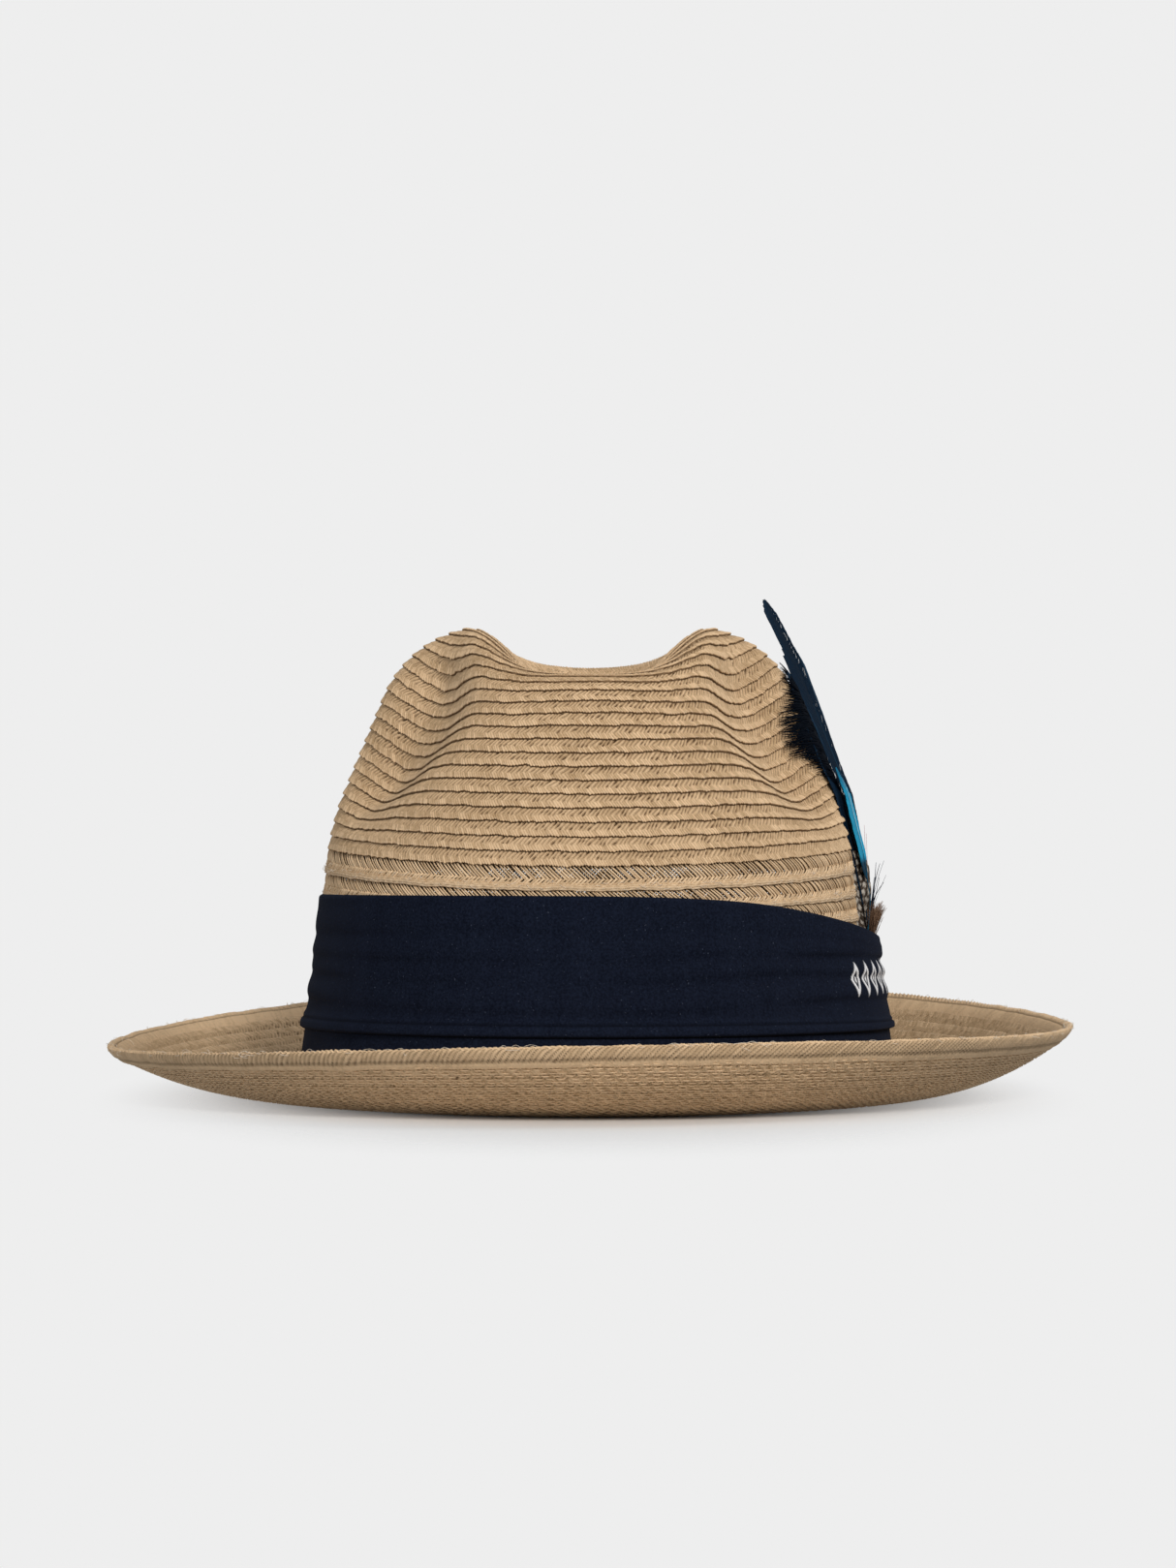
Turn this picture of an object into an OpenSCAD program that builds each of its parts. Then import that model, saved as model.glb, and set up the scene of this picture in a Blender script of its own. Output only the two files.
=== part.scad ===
// Sewn-braid straw fedora with a pleated puggaree band and a feather ornament.
// +Z is up, -Y is the front of the hat and +X is the wearer's left.
// The hat stands on the lowest ring of its brim, at z = 0.

/* [Crown] */
// Height of the open crown before it is creased
top_h = 141.5; // [138:0.5:150]
// How much longer the head oval is than it is wide, on each half
oval_extra = 17.5; // [15:0.5:20]
// Thickness of the sewn straw
straw_t = 2; // [1.6:0.1:2.2]
// Depth of the crease along the top
crease_depth = 28; // [22:0.5:30]
// Depth of each front pinch
pinch_depth = 14.5; // [8:0.5:16]
// Height of one open-weave row above the band
vent_pitch = 7.2; // [6.5:0.1:7.6]

/* [Brim] */
// Width of the brim, level, from the crown to the edge
brim_w = 58.8; // [50:0.2:62]
// Mean height of the brim's edge
edge_h = 21.9; // [18:0.1:24]
// Share of the brim's width that the doubled edge row takes
edge_share = 0.1; // [0.06:0.01:0.12]

/* [Band] */
// Height of the band's top edge at the front
band_top = 60; // [56:0.5:62]
// How far the band's top edge dips at the feather
band_dip = 13; // [8:0.5:14]
// Height of the main band's lower hem
hem_h = 20; // [17:0.5:22]
// Thickness of the band's cloth, with its folds
band_t = 1.4; // [1:0.1:1.6]
// How far the band stands off the crown at the feather pocket
pocket_gap = 4.4; // [4:0.1:5]

/* [Sweatband] */
// Height of the sweatband inside the crown
sweat_h = 34; // [28:1:38]
// Thickness of the sweatband
sweat_t = 1.1; // [0.8:0.1:1.4]

/* [Feathers] */
// Height of the long feather's tip
plume_top = 149.5; // [140:0.5:152]
// Half width of the long feather's vane
plume_half_w = 11.5; // [8:0.5:13]

/* [Hidden] */

STRAW = [0.74, 0.63, 0.47];
NAVY = [0.07, 0.09, 0.17];
round_n = 72;        // points around every oval
foot_z = 3.6;        // where the crown meets the brim
vent_s = 119.2;      // where the open rows start, measured over the crown from the top's middle
row_pitch = vent_s / 28;
tip_s = 8 * row_pitch;
tip_core = 2.5;      // where the coil's first round lies
base_s = vent_s + 3 * vent_pitch;
skin = 0.15;         // air between two layers of cloth or straw

// Lean of the blocked crown from level, by distance over it from the top's middle
LEAN = [[0, 0], [20, 2], [34, 5], [71, 67.5], [101, 67.5], [126, 85.5], [134, 85.5],
        [145, 82.6], [260, 82.6]];
lean_step = 1.5;
PROFILE = [for (i = 0, a = 0, z = top_h; z > -2;
    a = a + lean_step * cos(lookup((i + 0.5) * lean_step, LEAN)),
    z = z - lean_step * sin(lookup((i + 0.5) * lean_step, LEAN)),
    i = i + 1) [i * lean_step, a, z]];
WIDTH_BY_S = [for (p = PROFILE) [p[0], p[1]]];
HEIGHT_BY_S = [for (p = PROFILE) [p[0], p[2]]];
WIDTH_BY_Z = [for (i = [len(PROFILE) - 1:-1:0]) [PROFILE[i][2], PROFILE[i][1]]];
foot_a = lookup(foot_z, WIDTH_BY_Z);

function smooth(t) = let(c = max(0, min(1, t))) c * c * (3 - 2 * c);
function unit(v) = v / norm(v);
function bell(x, w) = exp(-pow(x / w, 2));

// Share of the front pinch felt at a point of the open crown
function pinch(x, y, z) =
    let(valley = 51.5 + 20 * smooth((122 - z) / 38),
        across = abs(x) - valley)
    (across < 0 ? bell(across, 14) : bell(across, 17))
    * smooth((z - 74) / 28) * (1 - smooth((z - 126) / 20)) * smooth((-y - 8) / 34);

// Share of the top's crease felt at a point of the open crown
function crease(x, y) =
    smooth((y + 84) / 40) * smooth((84 - y) / 60) * (1 - smooth(abs(x) / 37.5));

// The rows lie a little lower over the front than over the sides
function front_slip(t, s) =
    4.2 * pow(max(0, -sin(t)), 1.5) * smooth(s / 60) * smooth((150 - s) / 28);

// Outside of the crown at angle t, distance s over the crown from the top's middle
function crown(t, s) =
    let(r = s + front_slip(t, s),
        a = lookup(r, WIDTH_BY_S),
        z = lookup(r, HEIGHT_BY_S),
        x = a * cos(t),
        y = (a + oval_extra) * sin(t),
        k = pinch_depth * pinch(x, y, z))
    [x - sign(x) * 0.45 * k, y + 0.72 * k, z - 0.5 * k - crease_depth * crease(x, y)];

// The same, moved out along the surface's normal
function crown_at(t, s, out) =
    out == 0 ? crown(t, s)
    : crown(t, s) + out * unit(cross(crown(t, s + 1) - crown(t, s - 1),
                                     crown(t + 2, s) - crown(t - 2, s)));

// Outside of the crown's lower wall at angle t and height z, moved out level
function wall(t, z, out) =
    let(a = lookup(z, WIDTH_BY_Z),
        b = a + oval_extra,
        n = unit([b * cos(t), a * sin(t), 0]))
    [a * cos(t), b * sin(t), z] + out * n;

ANGLES = [for (i = [0:round_n - 1]) 360 * i / round_n];
function crown_ring(s, out) = [for (t = ANGLES) crown_at(t, s, out)];
function wall_ring(z, out) = [for (t = ANGLES) wall(t, z, out)];
function steps(from, to, count) = [for (i = [0:count]) from + (to - from) * i / count];
function reversed(v) = [for (i = [len(v) - 1:-1:0]) v[i]];

// Side faces of a stack of rings, from ring 0 to the last
function side_faces(rings, n) = [for (j = [0:rings - 2]) for (i = [0:n - 1])
    let(a = j * n + i, b = j * n + (i + 1) % n)
    each [[a, b, b + n], [a, b + n, a + n]]];

// Faces from the last ring back to the first, split the other way to match a neighbour's
function closing_faces(rings, n) = [for (i = [0:n - 1])
    let(a = (rings - 1) * n + i, b = (rings - 1) * n + (i + 1) % n)
    each [[a, b, i], [b, (i + 1) % n, i]]];

// Cap across an oval ring that is a mirror image about x = 0
function oval_cap(first, n, flip) = [for (i = [-n / 4:n / 4 - 1])
    let(a = first + (i + n) % n,
        b = first + (i + 1 + n) % n,
        c = first + (n / 2 - i - 1 + n) % n,
        d = first + (n / 2 - i + n) % n)
    each [for (f = [[a, b, c], [a, c, d]])
        if (f[0] != f[1] && f[1] != f[2] && f[0] != f[2]) flip ? [f[2], f[1], f[0]] : f]];

// A closed hoop: rings joined in a loop, the last to the first
module hoop(rings) {
    n = len(rings[0]);
    polyhedron(points = [for (r = rings) each r],
        faces = concat(side_faces(len(rings), n), closing_faces(len(rings), n)));
}

// A closed strip: sections along a length, closed at both ends
module strip(sections) {
    n = len(sections[0]);
    last = (len(sections) - 1) * n;
    polyhedron(points = [for (r = sections) each r],
        faces = concat(side_faces(len(sections), n),
            [[for (i = [n - 1:-1:0]) i]], [[for (i = [0:n - 1]) last + i]]));
}

// A straw hoop of the crown, between two distances over it
module crown_hoop(from, to, count) {
    levels = steps(from, to, count);
    hoop(reversed(concat([for (s = levels) crown_ring(s, 0)],
        [for (s = reversed(levels)) crown_ring(s, -straw_t)])));
}

module crown_tip_coil() {
    levels = steps(tip_core, tip_s, 6);
    rings = concat([for (s = levels) crown_ring(s, 0)],
        [for (s = reversed(levels)) crown_ring(s, -straw_t)]);
    last = (len(rings) - 1) * round_n;
    color(STRAW)
        polyhedron(points = [for (r = rings) each r],
            faces = [for (f = concat(side_faces(len(rings), round_n),
                oval_cap(0, round_n, true), oval_cap(last, round_n, false)))
                [f[2], f[1], f[0]]]);
}

module crown_braid() {
    color(STRAW) crown_hoop(tip_s, vent_s, 18);
}

module vent_braid(k) {
    color(STRAW * 1.05) crown_hoop(vent_s + (k - 1) * vent_pitch, vent_s + k * vent_pitch, 1);
}

module crown_base_braid() {
    levels = steps(base_s, 170, 3);
    color(STRAW)
        hoop(reversed(concat([for (s = levels) crown_ring(s, 0)],
            [wall_ring(foot_z, 0), wall_ring(foot_z, -straw_t)],
            [for (s = reversed(levels)) crown_ring(s, -straw_t)])));
}

// Height of the brim's edge: low over the sides, higher at the front and back
function edge_z(t) = edge_h + 2.95 * cos(t) - 3 * cos(2 * t) + 2.2 * sin(t);

// Top of the brim, at a share q of its width from the crown
function brim_top(t, q) =
    straw_t + (foot_z - straw_t) * (1 - smooth(q / 0.14))
    + (edge_z(t) - straw_t) * pow(max(0, q - 0.12) / 0.88, 2.1);
function brim_ring(q, down) = [for (t = ANGLES)
    wall(t, foot_z, brim_w * q) + [0, 0, brim_top(t, q) - foot_z - down]];

module brim_braid() {
    levels = [0.03, 0.08, 0.14, 0.2, 0.28, 0.38, 0.49, 0.6, 0.71, 0.82, 1 - edge_share];
    color(STRAW)
        hoop(reversed(concat([wall_ring(foot_z, -straw_t), wall_ring(foot_z, 0)],
            [for (q = levels) brim_ring(q, 0)],
            [for (q = reversed(levels)) brim_ring(q, straw_t)],
            [wall_ring(foot_z - straw_t, -straw_t)])));
}

module brim_edge_braid() {
    inner = 1 - edge_share;
    color(STRAW * 1.04)
        hoop(reversed([brim_ring(inner, -0.5), brim_ring(1 - edge_share / 2, -0.4),
            brim_ring(0.99, 0.1), brim_ring(1, 1.4), brim_ring(0.99, 2.7),
            brim_ring(1 - edge_share / 2, 2.7), brim_ring(inner, 2.5)]));
}

module sweatband() {
    out = -straw_t - skin;
    low = foot_z + 0.9;
    color([0.16, 0.14, 0.13])
        hoop([wall_ring(low, out), wall_ring(low + sweat_h / 2, out), wall_ring(low + sweat_h, out),
            wall_ring(low + sweat_h, out - sweat_t), wall_ring(low + sweat_h / 2, out - sweat_t),
            wall_ring(low, out - sweat_t)]);
}

module sweatband_reed() {
    radius = 0.9;
    out = -straw_t - skin - radius;
    color([0.1, 0.1, 0.11])
        hoop([for (c = [0:5])
            wall_ring(foot_z + radius * sin(60 * c), out + radius * cos(60 * c))]);
}

// Angle from the wearer's left, from -180 to 180
function from_left(t) = (t + 180) % 360 - 180;
function pocket(t) = pocket_gap * exp(-pow(from_left(t) / 34, 4));
function band_top_z(t) =
    band_top - 1.5 * sin(t) - band_dip * bell(from_left(t - 4), 44);

module band_under() {
    low = foot_z + 0.4;
    high = hem_h + 3;
    thick = 0.9;
    function row(z, out) = [for (t = ANGLES) wall(t, z, skin + pocket(t) + out)];
    color(NAVY * 0.8)
        hoop([row(low, 0), row(low, thick), row(hem_h, thick), row(high, thick),
            row(high, 0), row(hem_h, 0)]);
}

module band_main() {
    over = 1.1;  // room for the under strip below the hem
    function row(share, out) = [for (t = ANGLES)
        wall(t, hem_h + (band_top_z(t) - hem_h) * share,
            skin + pocket(t) + out + (share < 0.1 ? over : 0))];
    fold = 0.35;
    color(NAVY)
        hoop([row(0, 0), row(0, band_t), row(0.095, band_t), row(0.2, band_t + fold),
            row(0.38, band_t - fold), row(0.5, band_t + fold), row(0.7, band_t - fold),
            row(0.85, band_t + fold), row(1, band_t - fold), row(1, 0), row(0.5, 0),
            row(0.17, 0), row(0.095, 0)]);
}

// Patch of cloth over the lower wall, between two angles and two heights
function patch(from, to, count, low, high, out, thick) =
    [for (t = steps(from, to, count)) let(o = out + pocket(t))
        [wall(t, low, o), wall(t, low, o + thick), wall(t, high, o + thick), wall(t, high, o)]];

module band_folded_ends() {
    thick = pocket_gap - 1.4;
    fold_top = 25;
    sections = [for (t = steps(-20, 20, 8))
        [wall(t, 6, skin * 2), wall(t, 6, skin + thick), wall(t, fold_top, skin + thick),
         wall(t, fold_top, skin * 2)]];
    color(NAVY * 0.7) strip(sections);
}

module band_keeper() {
    out = skin * 2 + band_t + 1.5;
    color(NAVY * 1.15) strip(patch(14, 26, 4, 17, 46, out, 1.1));
}

// Middle line of the feathers, by height: up the pocket, then along the crown's side
SHAFT_X = [[30, 85.9], [44, 84.3], [60, 82.8], [72, 80.9], [90, 76.4], [99, 72.4], [131, 59],
           [160, 43.4]];
pocket_y = -6;
slide_lean = 7.4;    // lean of the wall at the pocket, which the ornament slides along
quill_z = 46;        // where the quills leave the binding
quill_pitch = 1.1;   // between quills, side by side in the binding
layer_twist = 12;    // how far the feathers' layers are turned towards the front

// A feather: a blade with a lens section. Its quill starts at its own slot in the binding,
// and its vane lies in its own layer, "out" from the middle line, swept back along y.
module plume(slot, z1, sweep, half_w, out, half_t, z0 = quill_z, ramp = 14) {
    along = [cos(layer_twist), -sin(layer_twist), 0];
    across = [sin(layer_twist), cos(layer_twist), 0];
    sections = [for (q = steps(0, 1, 11))
        let(z = z0 + (z1 - z0) * q,
            side = slot * quill_pitch + sweep * pow(q, 1.3),
            layer = ramp == 0 ? out : out * smooth((z - z0) / ramp),
            c = [lookup(z, SHAFT_X) + layer + side * tan(layer_twist), pocket_y + side, z],
            open = smooth((z - z0 - ramp * 0.7) / 14),
            w = max(0.45, half_w * (ramp == 0 ? 1 : open) * pow(max(0, sin(180 * pow(q, 1.1))), 0.7)),
            h = min(half_t, w))
        [for (p = [[-1, 0], [-0.4, -1], [0.4, -1], [1, 0], [0.4, 1], [-0.4, 1]])
            c + across * p[0] * w + along * p[1] * h]];
    strip(sections);
}

module feather_navy_long() {
    color([0.08, 0.2, 0.33]) plume(1, plume_top, 14, plume_half_w, 0.4, 0.4);
}

module feather_navy_short() {
    color([0.05, 0.13, 0.22]) plume(-1, 127.3, -4, 6, -0.55, 0.25);
}

module feather_turquoise() {
    color([0.05, 0.58, 0.72]) plume(-3, 101, 0, 5, 1.8, 0.35);
}

module feather_black_dotted() {
    color([0.1, 0.1, 0.11]) plume(3, 86, 6, 5.5, -1.7, 0.25);
}

module feather_spotted() {
    color([0.2, 0.16, 0.13]) plume(0, 78, -2, 6, 3.2, 0.35, ramp = 8);
}

module feather_brown_tuft() {
    color([0.47, 0.34, 0.26]) plume(0, 62, 0, 6.5, 4.9, 0.8, z0 = quill_z + 1.8, ramp = 0);
}

module feather_dark_wisps() {
    color([0.15, 0.17, 0.22]) plume(2, 72, 3, 4, 7.4, 0.4, z0 = quill_z + 3, ramp = 0);
}

module feather_pink_strand() {
    color([0.72, 0.25, 0.3]) plume(-4.6, 77, -5, 0.45, 0.6, 0.3);
}

// A flat bar with rounded edges, held in the pocket
module pocket_bar(z0, z1, half_x, half_y) {
    x = lookup((z0 + z1) / 2, SHAFT_X);
    translate([x, pocket_y, (z0 + z1) / 2])
        rotate([0, -slide_lean, 0])
            translate([0, 0, -(z1 - z0) / 2])
                linear_extrude(z1 - z0)
                    for (side = [-1, 1]) {
                        translate([0, side * (half_y - half_x)]) circle(half_x, $fn = 32);
                        translate([0, side * (half_y - half_x) / 2])
                            square([2 * half_x, half_y - half_x], center = true);
                    }
}

module feather_binding() {
    color([0.06, 0.06, 0.07]) pocket_bar(quill_z - 10, quill_z, 1.3, 4.6);
}

module feather_pin() {
    color([0.75, 0.75, 0.77]) pocket_bar(quill_z - 19, quill_z - 10.1, 0.7, 2.6);
}

crown_tip_coil();
crown_braid();
vent_braid(1);  // vent_braid_1
vent_braid(2);  // vent_braid_2
vent_braid(3);  // vent_braid_3
crown_base_braid();
brim_braid();
brim_edge_braid();
sweatband();
sweatband_reed();
band_under();
band_main();
band_folded_ends();
band_keeper();
feather_pin();
feather_binding();
feather_navy_long();
feather_navy_short();
feather_turquoise();
feather_black_dotted();
feather_spotted();
feather_brown_tuft();
feather_dark_wisps();
feather_pink_strand();
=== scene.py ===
import math

import bpy
import numpy as np
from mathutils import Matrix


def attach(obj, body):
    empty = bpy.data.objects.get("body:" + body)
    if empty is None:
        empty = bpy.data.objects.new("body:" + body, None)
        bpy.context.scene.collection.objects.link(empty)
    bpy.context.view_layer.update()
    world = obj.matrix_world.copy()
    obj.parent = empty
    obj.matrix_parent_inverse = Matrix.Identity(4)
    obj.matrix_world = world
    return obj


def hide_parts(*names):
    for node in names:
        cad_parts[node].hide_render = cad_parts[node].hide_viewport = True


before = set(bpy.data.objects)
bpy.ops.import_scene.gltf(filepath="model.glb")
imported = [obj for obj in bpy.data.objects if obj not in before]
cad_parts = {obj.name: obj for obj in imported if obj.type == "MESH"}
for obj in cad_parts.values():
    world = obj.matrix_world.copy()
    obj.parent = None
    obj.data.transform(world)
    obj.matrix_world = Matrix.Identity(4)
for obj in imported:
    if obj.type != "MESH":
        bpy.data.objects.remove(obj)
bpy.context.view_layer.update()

# A sewn-braid straw fedora with a pleated band and a feather ornament.
# Lengths in the shape functions are millimetres, as in the CAD; meshes are made in metres.
# Angles go round the hat from the wearer's left (+X), through the back (+Y).
MM = 0.001
TURN = 2 * math.pi

# ---------------------------------------------------------------- driving sizes, as in the CAD
top_h = 141.5          # open crown's height before it is creased
oval_extra = 17.5      # how much longer than wide each half of the head oval is
straw_t = 2.0          # straw's thickness
crease_depth = 28.0    # crease along the top
pinch_depth = 14.5     # front pinches
vent_pitch = 7.2       # one open-weave row
vent_s = 119.2         # where the open rows start, measured over the crown
brim_w = 58.8          # brim's width from the crown
edge_h = 21.9          # mean height of the brim's edge
edge_share = 0.1       # share of the brim that the edge row takes
foot_z = 3.6           # where the crown meets the brim
band_top = 60.0        # band's top edge at the front
band_dip = 13.0        # how far it dips at the feathers
hem_h = 20.0           # main band's lower hem
pocket_gap = 4.4       # how far the band stands off at the feather pocket
sweat_h = 34.0         # sweatband's height
sweat_t = 1.1          # sweatband's thickness
base_s = vent_s + 3 * vent_pitch
row_pitch = vent_s / 28

LEAN_S = [0, 20, 34, 71, 101, 126, 134, 145, 260]
LEAN_DEG = [0, 2, 5, 67.5, 67.5, 85.5, 85.5, 82.6, 82.6]
PROFILE_STEP = 0.25
PROFILE_S = np.arange(0, 182, PROFILE_STEP)
PROFILE_LEAN = np.radians(np.interp(PROFILE_S + PROFILE_STEP / 2, LEAN_S, LEAN_DEG))
PROFILE_A = np.cumsum(PROFILE_STEP * np.cos(PROFILE_LEAN)) - PROFILE_STEP
PROFILE_Z = top_h - np.cumsum(PROFILE_STEP * np.sin(PROFILE_LEAN))


# ---------------------------------------------------------------- shape of the hat
def smooth(t):
    c = np.clip(t, 0, 1)
    return c * c * (3 - 2 * c)


def bell(x, w):
    return np.exp(-((x / w) ** 2))


def pinch(x, y, z):
    """Share of the front pinch felt at a point of the open crown."""
    valley = 51.5 + 20 * smooth((122 - z) / 38)
    across = np.abs(x) - valley
    side = np.where(across < 0, bell(across, 14), bell(across, 17))
    return side * smooth((z - 74) / 28) * (1 - smooth((z - 126) / 20)) * smooth((-y - 8) / 34)


def crease(x, y):
    """Share of the top's crease felt at a point of the open crown."""
    return smooth((y + 84) / 40) * smooth((84 - y) / 60) * (1 - smooth(np.abs(x) / 37.5))


def crown(t, s):
    """Outside of the crown at angle t, distance s over the crown from the top's middle."""
    slip = 4.2 * np.maximum(0, -np.sin(t)) ** 1.5 * smooth(s / 60) * smooth((150 - s) / 28)
    a = np.interp(s + slip, PROFILE_S, PROFILE_A)
    z = np.interp(s + slip, PROFILE_S, PROFILE_Z)
    x = a * np.cos(t)
    y = (a + oval_extra) * np.sin(t)
    k = pinch_depth * pinch(x, y, z)
    return np.stack([x - np.sign(x) * 0.45 * k, y + 0.72 * k,
                     z - 0.5 * k - crease_depth * crease(x, y)], axis=-1)


def width_at(z):
    """Half width of the crown's lower wall at height z."""
    return np.interp(-z, -PROFILE_Z, PROFILE_A)


def wall(t, z, out):
    """Outside of the crown's lower wall at angle t and height z, moved out level."""
    t, z, out = np.broadcast_arrays(t, z, out)
    a = width_at(z)
    b = a + oval_extra
    nx = b * np.cos(t)
    ny = a * np.sin(t)
    size = np.hypot(nx, ny)
    return np.stack([a * np.cos(t) + out * nx / size, b * np.sin(t) + out * ny / size, z], axis=-1)


def edge_z(t):
    return edge_h + 2.95 * np.cos(t) - 3.0 * np.cos(2 * t) + 2.2 * np.sin(t)


def brim(t, r):
    """Top of the brim at angle t, distance r level from the crown."""
    t, r = np.broadcast_arrays(t, r)
    q = r / brim_w
    point = wall(t, foot_z, r)
    lift = np.maximum(0, q - 0.12) / 0.88
    point[..., 2] = (straw_t + (foot_z - straw_t) * (1 - smooth(q / 0.14))
                     + (edge_z(t) - straw_t) * lift ** 2.1)
    return point


def from_left(t):
    """Degrees from the wearer's left, from -180 to 180."""
    return (np.degrees(t) + 180) % 360 - 180


def pocket(t):
    return pocket_gap * np.exp(-((from_left(t) / 34) ** 4))


def band_top_z(t):
    return band_top - 1.5 * np.sin(t) - band_dip * bell(from_left(t - math.radians(4)), 44)


def unit(v):
    return v / np.maximum(np.linalg.norm(v, axis=-1, keepdims=True), 1e-9)


def normal_of(surface, t, s):
    """Normal of a surface of angle and distance, on the side that ds x dt faces."""
    along = surface(t, s + 0.5) - surface(t, s - 0.5)
    around = surface(t + 0.01, s) - surface(t - 0.01, s)
    return unit(np.cross(along, around))


def turned_over(surface, length, depth):
    """The other face of a shell: the same surface walked backwards, depth below."""
    def other(t, s):
        return surface(t, length - s) - depth * normal_of(surface, t, length - s)
    return other


# ---------------------------------------------------------------- mesh making
def angles(columns):
    return TURN * (np.arange(columns) + 0.5) / columns


def ripple(rng, t, low, high, count=5):
    """A smooth random wave round the hat, about -1 to 1, with low to high waves a turn."""
    total = np.zeros_like(t)
    for _ in range(count):
        total += np.sin(rng.integers(low, high) * t + rng.uniform(0, TURN))
    return total / math.sqrt(count)


def ring_faces(rings, columns, first=0):
    """Faces of a stack of closed rings, facing out where rings go along ds and columns along dt."""
    j, i = np.meshgrid(np.arange(rings - 1), np.arange(columns), indexing="ij")
    here = first + j * columns + i
    beside = first + j * columns + (i + 1) % columns
    return np.stack([here, here + columns, beside + columns, beside], axis=-1).reshape(-1, 4)


def bridge(high, low, columns):
    """Faces from the ring that starts at point high to the one that starts at point low."""
    i = np.arange(columns)
    beside = (i + 1) % columns
    return np.stack([high + i, low + i, low + beside, high + beside], axis=-1)


def join_rings(fine_first, coarse_first, fine_n, coarse_n):
    """Triangles from a ring of many points to a ring of fewer, as ds x dt faces."""
    step = fine_n // coarse_n
    k, i = np.meshgrid(np.arange(coarse_n), np.arange(step), indexing="ij")
    fine_a = fine_first + k * step + i
    fine_b = fine_first + (k * step + i + 1) % fine_n
    near = coarse_first + (k + (i >= step / 2)) % coarse_n
    fans = np.stack([fine_a, near, fine_b], axis=-1).reshape(-1, 3)
    k = np.arange(coarse_n)
    middle = fine_first + k * step + (step + 1) // 2
    bridges = np.stack([middle, coarse_first + k, coarse_first + (k + 1) % coarse_n], axis=-1)
    return np.concatenate([fans, bridges])


def add_piece(name, points, faces, material, body, tints):
    """A mesh object from points in millimetres and lists of faces, riding on a body."""
    mesh = bpy.data.meshes.new(name)
    points = np.asarray(points, dtype=np.float64).reshape(-1, 3) * MM
    mesh.vertices.add(len(points))
    mesh.vertices.foreach_set("co", points.astype(np.float32).ravel())
    corners = np.concatenate([f.ravel() for f in faces]).astype(np.int32)
    sizes = np.concatenate([np.full(len(f), f.shape[1]) for f in faces])
    starts = np.concatenate([[0], np.cumsum(sizes)[:-1]]).astype(np.int32)
    mesh.loops.add(len(corners))
    mesh.loops.foreach_set("vertex_index", corners)
    mesh.polygons.add(len(sizes))
    mesh.polygons.foreach_set("loop_start", starts)
    mesh.polygons.foreach_set("use_smooth", np.full(len(sizes), True))
    mesh.update(calc_edges=True)
    mesh.validate()
    layer = mesh.color_attributes.new("weave", "FLOAT_COLOR", "POINT")
    flat = np.ones((len(points), 4), dtype=np.float32)
    flat[:, :3] = np.asarray(tints).reshape(-1, 3)
    layer.data.foreach_set("color", flat.ravel())
    mesh.materials.append(material)
    piece = bpy.data.objects.new(name, mesh)
    bpy.context.scene.collection.objects.link(piece)
    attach(piece, body)
    return piece


class Ribbons:
    """Many thin closed ribbons gathered into one mesh."""

    def __init__(self):
        self.points = []
        self.quads = []
        self.tints = []
        self.count = 0

    def add(self, middle, across, up, half_w, half_t, tint):
        """Ribbons by stations: middle is (n, m, 3); half sizes are (n, m); tint is (n, m, 3)."""
        n, m = middle.shape[:2]
        corners = []
        for side, rise in ((-1, -0.6), (1, -0.6), (0.7, 1), (-0.7, 1)):
            corners.append(middle + across * (side * half_w)[..., None] + up * (rise * half_t)[..., None])
        block = np.stack(corners, axis=2)
        self.points.append(block.reshape(-1, 3))
        self.tints.append(np.repeat(tint[:, :, None, :], 4, axis=2).reshape(-1, 3))
        start = self.count + (np.arange(n) * m * 4)[:, None, None]
        j, c = np.meshgrid(np.arange(m - 1), np.arange(4), indexing="ij")
        here = start + j * 4 + c
        beside = start + j * 4 + (c + 1) % 4
        self.quads.append(np.stack([here, beside, beside + 4, here + 4], axis=-1).reshape(-1, 4))
        ends = self.count + np.arange(n) * m * 4
        last = ends + (m - 1) * 4
        self.quads.append(np.stack([ends + 3, ends + 2, ends + 1, ends], axis=-1))
        self.quads.append(np.stack([last, last + 1, last + 2, last + 3], axis=-1))
        self.count += n * m * 4

    def piece(self, name, material, body, slot):
        return add_piece(name, np.concatenate(self.points), [np.concatenate(self.quads)], material,
                         body, np.concatenate(self.tints))


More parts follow.
